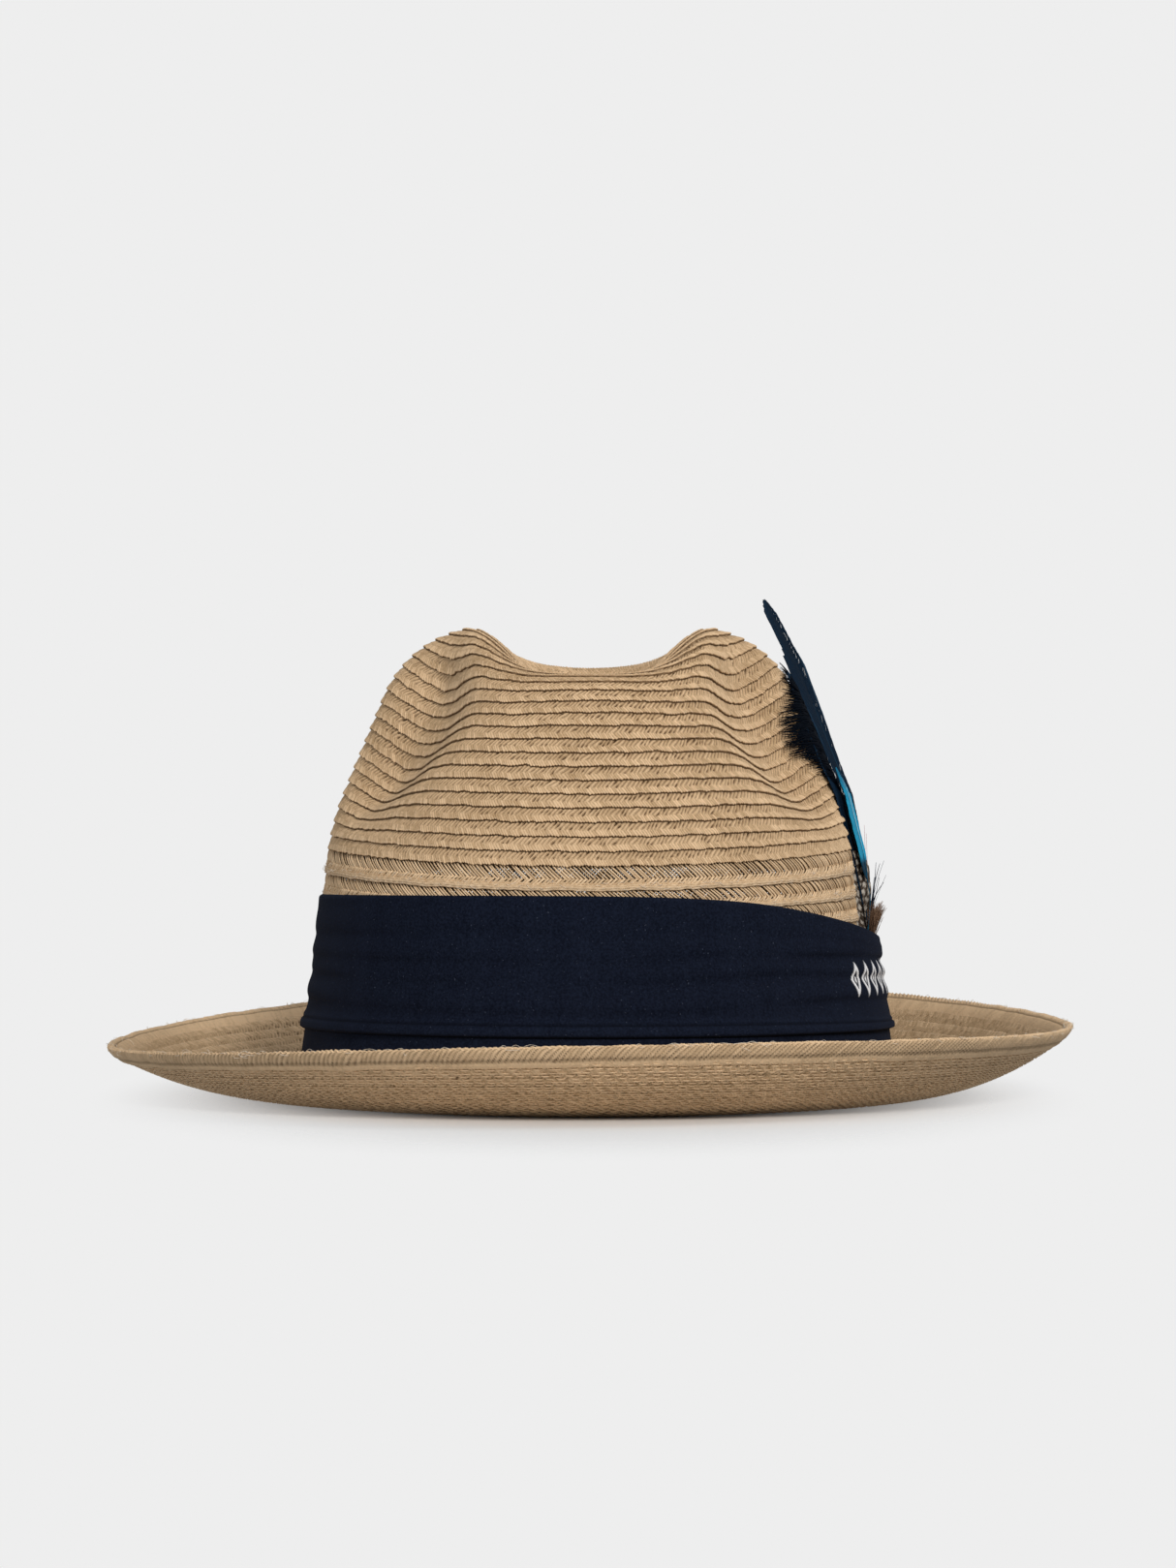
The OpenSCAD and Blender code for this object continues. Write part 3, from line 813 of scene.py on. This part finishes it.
def sweatband_ribbon():
    """Grosgrain ribbon sewn inside the foot of the crown."""
    columns = 1500
    t = angles(columns)[None, :]
    low = foot_z + 0.9
    levels = np.linspace(0, 1, 12)[:, None]
    ribs = 0.13 * np.cos(TURN * np.round(columns / 5) * t / TURN) + 0 * levels
    ribs = ribs * smooth(levels / 0.08) * smooth((1 - levels) / 0.1)
    rng = np.random.default_rng(41)
    sag = 0.18 * ripple(rng, t[0], 4, 14)[None, :] * np.sin(math.pi * levels)
    inner = wall(t, low + sweat_h * levels, lining_out - 0.75 * sweat_t - ribs - sag)
    outer = wall(t, low + sweat_h * levels, lining_out + 0 * ribs)[::-1]
    rings = np.concatenate([outer, inner])[::-1]
    piece = hoop_piece("sweatband_ribbon", rings, sweat_cloth)
    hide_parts("sweatband")


def reed():
    """Plastic reed in the hem where the crown turns into the brim."""
    columns = 480
    t = angles(columns)[None, :]
    a = -TURN * (np.arange(14) / 14)[:, None]
    radius = 0.86 + 0.03 * np.cos(24 * t)
    middle = lining_out - 0.9
    rings = wall(t, foot_z + radius * np.sin(a), middle + radius * np.cos(a))
    piece = hoop_piece("reed_tube", rings, reed_plastic)
    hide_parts("sweatband_reed")


for k in (1, 2, 3):
    vent_row(k)
brim_rows()
edge_row()
sweatband_ribbon()
reed()


# ---------------------------------------------------------------- band
SKIN = 0.15            # gap between the straw and the band
BAND_T = 1.4           # main band's thickness
KEEPER_LOW = 17.1
KEEPER_HIGH = 45.9


def by_side(t, left, back, right, front):
    """A number that goes smoothly from side to side round the hat."""
    c = np.cos(t)
    s = np.sin(t)
    return (left * np.maximum(0, c) ** 2 + back * np.maximum(0, s) ** 2
            + right * np.maximum(0, -c) ** 2 + front * np.maximum(0, -s) ** 2)


# Soft creases of the pleated cloth: share of the band's height, then depth in mm,
# each for the wearer's left, the back, the wearer's right and the front
CREASES = [((0.95, 0.9, 0.9, 0.97), (0.4, 0.2, 0.15, 0.0)),
           ((0.72, 0.6, 0.53, 0.52), (1.1, 0.6, 0.75, 0.5)),
           ((0.54, 0.45, 0.4, 0.37), (1.0, 0.5, 0.9, 0.3)),
           ((0.84, 0.75, 0.7, 0.73), (0.45, 0.4, 0.65, 0.35)),
           ((0.3, 0.25, 0.21, 0.15), (0.8, 0.5, 0.8, 0.4))]


def rolled(x):
    """How far an edge falls back on its quarter round, 0 to 1, as x goes from 0 to 1."""
    return 1 - np.sqrt(np.clip(1 - x.clip(0, 1) ** 2, 0, 1))


def hem_z(t):
    return hem_h + 1.4 * np.maximum(0, -np.sin(t))


def lozenges(t, z):
    """A plain row of woven lozenges on the wearer's left: where the pale thread shows."""
    pitch = 7.6
    run = from_left(t) * 1.72
    near = (run + pitch / 2) % pitch - pitch / 2
    size = np.abs(near) / 2.9 + np.abs(z - 35.8) / 5.2
    ring = smooth((size - 0.52) / 0.1) * (1 - smooth((size - 0.96) / 0.1))
    middle = 1 - smooth((size - 0.18) / 0.1)
    there = (np.abs(run + 22) < 27) & (size < 1.2)
    return np.where(there, np.maximum(ring, middle), 0)


def band_pleated():
    """The pleated band: one wide cloth with soft creases, a rolled top and a turned hem."""
    rng = np.random.default_rng(51)
    columns = 1440
    t = angles(columns)[None, :]
    share = np.linspace(0, 1, 84)[:, None]
    low = hem_z(t)
    z = low + (band_top_z(t) - low) * share
    out = np.full(z.shape, BAND_T + 0.1)
    for places, depths in CREASES:
        off = share - by_side(t, *places) - 0.012 * ripple(rng, t[0], 2, 9)[None, :]
        depth = by_side(t, *depths) * (0.8 + 0.35 * ripple(rng, t[0], 2, 12)[None, :])
        width = np.where(off > 0, 0.04, 0.085)
        out -= depth * np.exp(-((off / width) ** 2))
        out += 0.3 * depth * bell(off - 0.12, 0.07)
    out += 0.12 * ripple(rng, t[0], 3, 14)[None, :] * np.sin(math.pi * share)
    out += 1.05 * smooth((0.15 - share) / 0.09) - 0.55 * bell(share - 0.085, 0.012)
    # Rolled edges
    out -= 0.9 * rolled((share - 0.972) / 0.028)
    out -= 0.9 * rolled((0.024 - share) / 0.024)
    mark = lozenges(t, z)
    outer = wall(t, z, SKIN + pocket(t) + out + 0.14 * mark)
    # Tone follows the relief: painted shade in the creases and painted light on the raised folds and the hem
    tints = toned(z.shape + (3,), 0.22 + 0.1 * (out - BAND_T) + 0.03 * ripple(rng, t[0], 5, 60)[None, :])
    # Painted shade in the groove at the hem's turn
    tints[..., 1] = 0.55 * bell(share - 0.085, 0.01)
    tints[..., 2] = mark
    inner_share = np.linspace(1, 0, 9)[:, None]
    z_in = low + (band_top_z(t) - low) * inner_share
    inner = wall(t, z_in, SKIN + pocket(t) + 0.05 + 1.1 * smooth((0.13 - inner_share) / 0.08))
    rings = np.concatenate([outer, inner])[::-1]
    all_tints = np.concatenate([tints, toned(z_in.shape + (3,), 0.2)])[::-1]
    piece = hoop_piece("band_pleated_cloth", rings, band_cloth, all_tints)
    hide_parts("band_main")


def band_under_strip():
    """The narrower strip that shows below the hem."""
    rng = np.random.default_rng(52)
    columns = 1200
    t = angles(columns)[None, :]
    share = np.linspace(0, 1, 26)[:, None]
    low = foot_z + 0.4
    high = hem_h + 3
    z = low + (high - low) * share + 0 * t
    out = 0.82 + 0.1 * ripple(rng, t[0], 3, 16)[None, :] * np.sin(math.pi * share)
    out = out + 0.1 * bell(share - 0.12, 0.04) - 0.12 * bell(share - 0.2, 0.02)
    out = out - 0.5 * rolled((0.05 - share) / 0.05)
    outer = wall(t, z, SKIN + pocket(t) + out)
    inner = wall(t, z[::-5], SKIN + pocket(t) + 0.03)
    rings = np.concatenate([outer, inner])[::-1]
    tints = toned(rings.shape, 0.2 + 0.03 * ripple(rng, t[0], 5, 60)[None, :])
    piece = hoop_piece("band_under_cloth", rings, band_cloth, tints)
    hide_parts("band_under")


def section_strip(name, sections, tints=None):
    """A closed strip through sections along its length, (stations, section, 3)."""
    stations, around = sections.shape[:2]
    k = np.arange(around)
    j, i = np.meshgrid(np.arange(stations - 1), k, indexing="ij")
    here = j * around + i
    beside = j * around + (i + 1) % around
    sides = np.stack([here, beside, beside + around, here + around], axis=-1).reshape(-1, 4)
    last = (stations - 1) * around
    faces = [sides, k[::-1][None, :], (last + k)[None, :]]
    if tints is None:
        tints = toned(sections.shape, 0.22)
    return add_piece(name, sections, faces, band_cloth, "hat", tints)


def rounded(low, high, inner, outer, points=28, layers=0, depth=0.0):
    """A rounded rectangle of (z, out) points, its two short ends notched between layers."""
    a = TURN * np.arange(points) / points
    square = 1 / np.maximum(np.abs(np.cos(a)) ** 6 + np.abs(np.sin(a)) ** 6, 1e-6) ** (1 / 6)
    u = np.cos(a) * square
    v = np.sin(a) * square
    if layers:
        u = u * (1 - depth * (np.abs(u) > 0.8) * (0.5 - 0.5 * np.cos(TURN * layers * (v + 1) / 2 + math.pi)))
    return (low + high) / 2 + u * (high - low) / 2, (inner + outer) / 2 + v * (outer - inner) / 2


def band_folded():
    """The band's folded ends in the pocket: one closed form, notched like three layers."""
    t = np.radians(np.linspace(-19.8, 19.8, 70))[:, None]
    z, out = rounded(6.2, 24.8, 2 * SKIN, pocket_gap - 1.4, 48, 3, 0.05)
    wave = 0.08 * np.sin(9 * t) * np.sin(out * 2)
    sections = wall(t, z[None, :] + wave, out[None, :])
    piece = section_strip("band_folded_cloth", sections[:, ::-1])
    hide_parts("band_folded_ends")


def band_keeper_loop():
    """The upright loop that covers the band's join."""
    z = np.linspace(KEEPER_LOW, KEEPER_HIGH, 80)[:, None]
    middle, out = rounded(14.1, 25.9, 3.2, 4.25, 40)
    t = np.radians(middle)[None, :]
    pinched = 1 + 0.06 * np.cos(TURN * (z - 31) / 30)
    t = math.radians(20) + (t - math.radians(20)) * pinched
    ends = 0.5 * bell(z - KEEPER_LOW, 1.2) + 0.5 * bell(z - KEEPER_HIGH, 1.2)
    stitch = 0.09 * np.cos(TURN * z / 1.3) * bell(np.abs(np.degrees(t) - 20) - 4.9, 0.35)
    sections = wall(t, z + 0 * t, out[None, :] + pocket(t) - ends * (out[None, :] > 3.7) - stitch)
    tints = toned(sections.shape, 0.27)
    # Painted shade in the stitch dents
    tints[..., 1] = np.clip(5 * stitch, 0, 0.6)
    piece = section_strip("band_keeper_cloth", sections, tints)
    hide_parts("band_keeper")


# ---------------------------------------------------------------- feathers
SHAFT_Z = [30, 44, 60, 72, 90, 99, 131, 160]
SHAFT_X = [85.9, 84.3, 82.8, 80.9, 76.4, 72.4, 59, 43.4]
pocket_y = -6.0
quill_z = 46.0
quill_pitch = 1.1
layer_twist = math.radians(12)
slide_lean = math.radians(7.4)
VANE_RAKE = 0.6        # least angle between barb and shaft, in radians
VANE_STOP = 0.985      # where along the shaft the last barb starts
VANE_CURL = -0.003     # how far a vane curls toward the hat, by the square of its width


class Feather:
    """A feather's shaft and its vane's plane, by the CAD's formula with given values."""

    def __init__(self, slot, top, sweep, half_w, out, ramp_h=14.0, turn=0.0):
        self.slot = slot
        self.top = top
        self.sweep = sweep
        self.half_w = half_w
        self.out = out
        self.ramp_h = ramp_h
        self.turn = math.radians(turn)

    def frame_at(self, q):
        """Directions across the vane and out of it; the vane turns a little as it rises."""
        a = layer_twist + self.turn * smooth(q / 0.15)
        none = np.zeros_like(a)
        return (np.stack([np.sin(a), np.cos(a), none], axis=-1),
                np.stack([np.cos(a), -np.sin(a), none], axis=-1))

    def shaft(self, q):
        z = quill_z + (self.top - quill_z) * q
        side = self.slot * quill_pitch + self.sweep * np.clip(q, 0, 2) ** 1.3
        layer = self.out * smooth((z - quill_z) / self.ramp_h)
        x = np.interp(z, SHAFT_Z, SHAFT_X) + layer + side * math.tan(layer_twist)
        return np.stack(np.broadcast_arrays(x, pocket_y + side, z), axis=-1)

    def length(self):
        points = self.shaft(np.linspace(0, 1, 60))
        return np.linalg.norm(np.diff(points, axis=0), axis=-1).sum()

    def add_shaft(self, ribbons, thick, tone):
        q = np.linspace(0, 1, 40)[None, :]
        middle = self.shaft(q)
        across, along = self.frame_at(q)
        half = thick * (1 - 0.8 * q)
        ribbons.add(middle + along * 0.12, across, along, half, half * 0.8, toned(middle.shape, tone))

    def add_vane(self, rng, ribbons, side, count, shape, tint_of, ragged=0.06, start=0.12,
                 half_w=0.56, stations=10, taper=0.75):
        """Barbs up one side of the shaft. shape(q) is the share of the full half width."""
        q0 = np.linspace(start, VANE_STOP, count)[:, None]
        j = np.linspace(0, 1, stations)[None, :]
        total = self.length()
        reach = self.half_w * shape(q0) * (1 + ragged * rng.normal(size=(count, 1)))
        reach = np.maximum(reach, 0.15)
        lean = VANE_RAKE + 0.35 * q0 ** 3 + 0.04 * rng.normal(size=(count, 1))
        v = side * reach * np.sin(j * math.pi / 2) ** 1.1
        advance = reach * j ** 1.25 / np.tan(lean.clip(0.2, 1.4))
        q = q0 + advance / total
        across, along = self.frame_at(q)
        wave = 0.05 * rng.normal(size=(count, 1)) * j
        middle = self.shaft(q) + across * v[..., None] + along * (VANE_CURL * v * v + wave)[..., None]
        run = unit(np.gradient(middle, axis=1))
        half = half_w * (1 - taper * j ** 4) * (0.9 + 0.1 * rng.random((count, 1)))
        ribbons.add(middle, unit(np.cross(along, run)), along, half + 0 * v, 0.055 + 0 * v,
                    tint_of(q, v / self.half_w, rng))


def full_vane(q):
    return np.maximum(np.sin(math.pi * np.clip(q, 0, 1) ** 1.1), 0.02) ** 0.7


def long_vane(q):
    """The long plume: widest above its middle, then narrow up to its hooked tip."""
    return np.interp(q, [0.1, 0.3, 0.46, 0.58, 0.7, 0.78, 0.9, 0.96, 1.0],
                     [0.1, 0.3, 0.5, 0.85, 0.95, 0.66, 0.62, 0.3, 0.03])


def base_vane(q):
    """A short plume that is full right from its foot."""
    return np.maximum(full_vane(q), 0.8 * (1 - smooth((q - 0.2) / 0.3)))


def bounded(tone, painted_shade=0.0, mark=0.0):
    return np.stack(np.broadcast_arrays(np.clip(tone, 0, 1), painted_shade, mark), axis=-1) + 0.0


def navy_tints(q, v, rng):
    own = 0.14 * (rng.random((q.shape[0], 1)) - 0.5)
    rim = 0.3 * smooth((np.abs(v) - 0.55) / 0.3) * (v > 0)
    return bounded(0.34 + own + rim + 0.25 * smooth((0.35 - q) / 0.3) + 0.12 * smooth((q - 0.8) / 0.2))


def turquoise_tints(q, v, rng):
    own = 0.25 * (rng.random((q.shape[0], 1)) - 0.5)
    # Painted highlight: a pale streak beside the shaft, in the spot colour
    streak = 0.8 * bell(v - 0.28, 0.1) * smooth((q - 0.45) / 0.2) * (1 - smooth((q - 0.85) / 0.1))
    low = 0.9 * (1 - smooth((q - 0.43) / 0.06))
    return bounded(0.8 + own - 0.45 * smooth((q - 0.8) / 0.2) - low, 0.0,
                   np.clip(streak * (0.7 + 0.5 * rng.random((q.shape[0], 1))), 0, 1))


def dotted_tints(q, v, rng):
    beat = (q * 12) % 1
    dot = smooth((0.2 - np.hypot((beat - 0.5) * 0.8, (np.abs(v) - 0.6) * 1.1)) / 0.06)
    return bounded(0.25 + 0.2 * (rng.random((q.shape[0], 1)) - 0.5), 0.0, dot)


def spotted_tints(q, v, rng):
    row = np.floor(q * 12)
    beat = (q * 12) % 1 - 0.5
    column = (v * 2.2 + 0.5 * (row % 2)) % 1 - 0.5
    spot = smooth((0.32 - np.hypot(beat * 0.8, column)) / 0.08)
    return bounded(0.8 + 0.4 * (rng.random((q.shape[0], 1)) - 0.5), 0.0, 0.9 * spot)


def ornament_piece(name, node, ribbons, material, slot):
    piece = ribbons.piece(name, material, "feather_ornament", slot)
    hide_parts(node)


def feather(seed, name, node, shape, tints, material, slot, count, thick=0.42, tone=0.8,
            outline=full_vane, down=False, **vane_style):
    rng = np.random.default_rng(seed)
    ribbons = Straws()
    shape.add_shaft(ribbons, thick, tone)
    for side in (-1, 1):
        shape.add_vane(rng, ribbons, side, count, outline, tints, **vane_style)
    # down adds the black down that stands in for the plume's shadow: painted shadow
    if down:
        shadow_down(rng, ribbons)
    ornament_piece(name, node, ribbons, material, slot)


def shadow_down(rng, ribbons):
    """Painted shadow: soft black down beside the short navy plume, laid forward over the crown where the
    plume's shadow falls.
    """
    count = 560
    j = np.linspace(0, 1, 9)[None, :]
    height = rng.uniform(86, 124, (count, 1))
    reach = 19 * smooth((height - 83) / 25) * (1 - 0.75 * smooth((height - 111) / 16))
    reach = reach * rng.uniform(0.1, 1.0, (count, 1))
    t = -np.radians(4 + reach * j)
    s = np.interp(-height, -PROFILE_Z, PROFILE_S) - (2 + 5 * rng.random((count, 1))) * j ** 1.5
    out = 1.0 + 0.5 * rng.random((count, 1)) + 0.3 * np.sin(math.pi * j)
    # Near black, with painted shade on top
    tone = 0.1 * rng.random((count, 1))
    ribbons.lay(crown, t, s, out, 0.3 * (1 - 0.8 * j ** 2), 0.05, tone + 0 * t, 0.8 + 0 * t)


def feathers():
    feather(61, "navy_plume", "feather_navy_long", Feather(1, 149.5, 14, 11.5, 0.6, turn=4),
            navy_tints, navy, "feather_navy", 420, outline=long_vane, ragged=0.02, taper=0.15,
            half_w=0.85)
    # The short navy plume brings the painted shadow of black down on the crown
    feather(62, "navy_plume_short", "feather_navy_short", Feather(-1, 127.3, -4, 7, -0.3, turn=4),
            navy_tints, navy, "feather_navy", 200, down=True, ragged=0.03, taper=0.4)
    feather(63, "turquoise_plume", "feather_turquoise", Feather(-3, 98.5, 0, 4.6, 1.8, turn=2),
            turquoise_tints, turquoise, "feather_turquoise", 120, 0.22, 0.1, start=0.36, ragged=0.03)
    feather(64, "dotted_plume", "feather_black_dotted", Feather(3, 90, 6, 5.5, -3.3, 3),
            dotted_tints, dark, "feather_dark", 110, 0.32, 0.15, outline=base_vane, start=0.02)
    feather(65, "spotted_plume", "feather_spotted", Feather(-1.5, 73, -5, 6, -0.6, 6, 26),
            spotted_tints, dark, "feather_dark", 90, 0.32, 0.5, stations=12, outline=base_vane,
            start=0.02)


def loose_barbs(name, node, seed, count, base, rise, spread_x, spread_y, out, material, slot,
                half_w=0.09, curl=1.0, length=(0.6, 1.0)):
    """Loose barbs that fan out from the binding: downy tuft and stray wisps."""
    rng = np.random.default_rng(seed)
    ribbons = Ribbons()
    stations = 14
    j = np.linspace(0, 1, stations)[None, :]
    size = rng.uniform(length[0], length[1], (count, 1))
    lean_x = rng.uniform(-0.15, 1, (count, 1)) * spread_x * size
    lean_y = rng.uniform(-1, 1, (count, 1)) * spread_y * size
    bend = curl * rng.normal(size=(count, 1))
    x0 = np.interp(base, SHAFT_Z, SHAFT_X) + out + 0.5 * rng.normal(size=(count, 1))
    x = x0 + lean_x * j ** 1.4 + 0.35 * bend * np.sin(math.pi * j)
    y = pocket_y + 1.6 * rng.normal(size=(count, 1)) + lean_y * j + 0.5 * bend * np.sin(math.pi * j * 1.3)
    z = base + rng.uniform(-1, 1.5, (count, 1)) + rise * size * j ** 0.9
    middle = np.stack([x, y, z], axis=-1)
    run = unit(np.gradient(middle, axis=1))
    across = unit(np.cross(run, rng.normal(size=(count, 1, 3)) + np.array([1.0, 0, 0])))
    tone = 0.45 + 0.6 * (rng.random((count, 1)) - 0.5) + 0.3 * j
    ribbons.add(middle, across, unit(np.cross(run, across)), half_w * (1 - 0.7 * j) + 0 * x,
                0.04 + 0 * x, bounded(tone))
    ornament_piece(name, node, ribbons, material, slot)


def on_slide(z, through):
    """x of the ornament's slanted line at height z, where it passes the shafts' line at through."""
    return np.interp(through, SHAFT_Z, SHAFT_X) - math.tan(slide_lean) * (z - through)


def feather_binding():
    """Waxed thread wound round the quills."""
    ribbons = Ribbons()
    turns = 15
    stations = 48 * turns
    a = TURN * turns * np.linspace(0, 1, stations)[None, :]
    z = 36.15 + 9.6 * np.linspace(0, 1, stations)[None, :]
    centre_x = on_slide(z, 41.0)
    half_x = 1.05
    half_y = 4.3
    square = 1 / (np.abs(np.cos(a)) ** 3.2 + np.abs(np.sin(a)) ** 3.2) ** (1 / 3.2)
    middle = np.stack([centre_x + half_x * np.cos(a) * square, pocket_y + half_y * np.sin(a) * square,
                       z], axis=-1)
    run = unit(np.gradient(middle, axis=1))
    up = np.broadcast_to(np.array([0.0, 0.0, 1.0]), middle.shape)
    ribbons.add(middle, unit(np.cross(run, up)), up, 0.3 + 0 * z, 0.33 + 0 * z,
                bounded(0.4 + 0.2 * np.sin(40 * a)))
    # Core of bound quills inside the thread
    q = np.linspace(0, 1, 12)[None, :]
    z = 36.1 + 9.8 * q
    core = np.stack([on_slide(z, 41.0), pocket_y + 0 * z, z], axis=-1)
    ribbons.add(core, np.broadcast_to(np.array([0.0, 1.0, 0.0]), core.shape),
                np.broadcast_to(np.array([1.0, 0.0, 0.0]), core.shape), 4.0 + 0 * z, 0.85 + 0 * z,
                bounded(0.2 + 0 * z))
    ornament_piece("quill_binding", "feather_binding", ribbons, thread, "binding_thread")


def feather_pin():
    """A bent steel clip that holds the ornament in the pocket."""
    ribbons = Ribbons()
    a = np.linspace(0, 1, 90)[None, :]
    leg = np.clip(np.abs(a - 0.5) * 2, 0, 1)
    round_part = np.clip((0.22 - leg) / 0.22, 0, 1)
    z = 27.9 + 7.7 * leg - 0.35 * np.sin(round_part * math.pi / 2)
    y = pocket_y + np.sign(a - 0.5) * 1.75 * np.cos(round_part * math.pi / 2) ** 0.8
    middle = np.stack([on_slide(z, 31.45), y, z], axis=-1)
    run = unit(np.gradient(middle, axis=1))
    up = np.broadcast_to(np.array([1.0, 0.0, 0.0]), middle.shape)
    ribbons.add(middle, unit(np.cross(run, up)), up, 0.42 + 0 * z, 0.42 + 0 * z, bounded(0.5 + 0 * z))
    ornament_piece("ornament_clip", "feather_pin", ribbons, pin_steel, "pin_steel")


band_pleated()
band_under_strip()
band_folded()
band_keeper_loop()
feathers()
loose_barbs("brown_tuft", "feather_brown_tuft", 71, 420, 45.8, 11.0, 4.6, 5.0, 0.2, brown,
            "feather_brown", 0.1, 0.9)
loose_barbs("dark_wisps", "feather_dark_wisps", 72, 8, 54.0, 17.5, 7.0, 3.5, 1.4, wisp,
            "feather_dark", 0.24, 1.1, (0.55, 1.0))
loose_barbs("pink_barb", "feather_pink_strand", 74, 2, 48.0, 32.0, -1.2, 1.0, -0.4, pink,
            "feather_pink", 0.17, 0.5, (0.95, 1.0))
feather_binding()
feather_pin()


# ---------------------------------------------------------------- camera, light and floor
def pale_floor():
    """A pale floor that holds the contact shadow and fades into the background."""
    radius = 1.6
    paint = Paint("floor", 0.9, Base_Color=(0.86, 0.86, 0.855, 1), Specular_IOR_Level=0.1)
    place = paint.nodes.new("ShaderNodeTexCoord")
    shape = paint.nodes.new("ShaderNodeMapping")
    shape.inputs["Scale"].default_value = (1, 0.5, 1)
    paint.links.new(place.outputs["Object"], shape.inputs["Vector"])
    length = paint.nodes.new("ShaderNodeVectorMath")
    length.operation = "LENGTH"
    paint.links.new(shape.outputs["Vector"], length.inputs[0])
    fade = paint.spread(length.outputs["Value"], 1, 0, 0.06, 0.152)
    fade.node.interpolation_type = "SMOOTHSTEP"
    paint.links.new(fade, paint.shader.inputs["Alpha"])
    columns = 64
    rings = [0.02, 0.25, 0.6, 1.0]
    points = [[radius * q * math.cos(a), radius * q * math.sin(a), 0] for q in rings
              for a in angles(columns)]
    mesh = bpy.data.meshes.new("floor")
    faces = ring_faces(len(rings), columns).tolist() + [list(range(columns))]
    mesh.from_pydata(points, [], faces)
    mesh.materials.append(paint.material)
    floor = bpy.data.objects.new("floor", mesh)
    bpy.context.scene.collection.objects.link(floor)


def area_light(name, place, size, watts, colour=(1, 1, 1)):
    """A soft light that faces the middle of the hat."""
    light = bpy.data.lights.new(name, "AREA")
    light.shape = "DISK"
    light.size = size
    light.energy = watts
    light.color = colour
    lamp = bpy.data.objects.new(name, light)
    lamp.location = place
    aim = np.array([0, 0, 0.07]) - np.array(place)
    flat = math.hypot(aim[0], aim[1])
    lamp.rotation_euler = (math.atan2(flat, -aim[2]), 0, math.atan2(-aim[0], aim[1]))
    bpy.context.scene.collection.objects.link(lamp)


def studio():
    world = bpy.data.worlds.new("studio")
    world.use_nodes = True
    nodes = world.node_tree.nodes
    links = world.node_tree.links
    ground = nodes["Background"]
    ground.inputs["Color"].default_value = (0.93, 0.965, 1.0, 1)
    ground.inputs["Strength"].default_value = 0.3
    seen = nodes.new("ShaderNodeBackground")
    seen.inputs["Color"].default_value = (0.855, 0.855, 0.855, 1)
    path = nodes.new("ShaderNodeLightPath")
    blend = nodes.new("ShaderNodeMixShader")
    links.new(path.outputs["Is Camera Ray"], blend.inputs[0])
    links.new(ground.outputs[0], blend.inputs[1])
    links.new(seen.outputs[0], blend.inputs[2])
    links.new(blend.outputs[0], nodes["World Output"].inputs["Surface"])
    bpy.context.scene.world = world
    area_light("key", (0.45, -1.75, 1.0), 0.5, 21, (1, 0.985, 0.96))
    area_light("right", (1.5, 0.2, 1.0), 0.6, 7)
    area_light("left", (-1.5, -1.1, 0.6), 1.0, 6)
    scene = bpy.context.scene
    scene.view_settings.view_transform = "Standard"
    scene.view_settings.look = "None"


def camera():
    """Level with the crown, 1.6 m in front of the hat."""
    lens = bpy.data.cameras.new("camera")
    lens.sensor_width = 36
    lens.lens = 121.6
    lens.clip_start = 0.05
    viewer = bpy.data.objects.new("camera", lens)
    viewer.location = (-0.0006, -1.6, 0.0932)
    viewer.rotation_euler = (math.radians(90), 0, 0)
    bpy.context.scene.collection.objects.link(viewer)
    bpy.context.scene.camera = viewer


pale_floor()
studio()
camera()
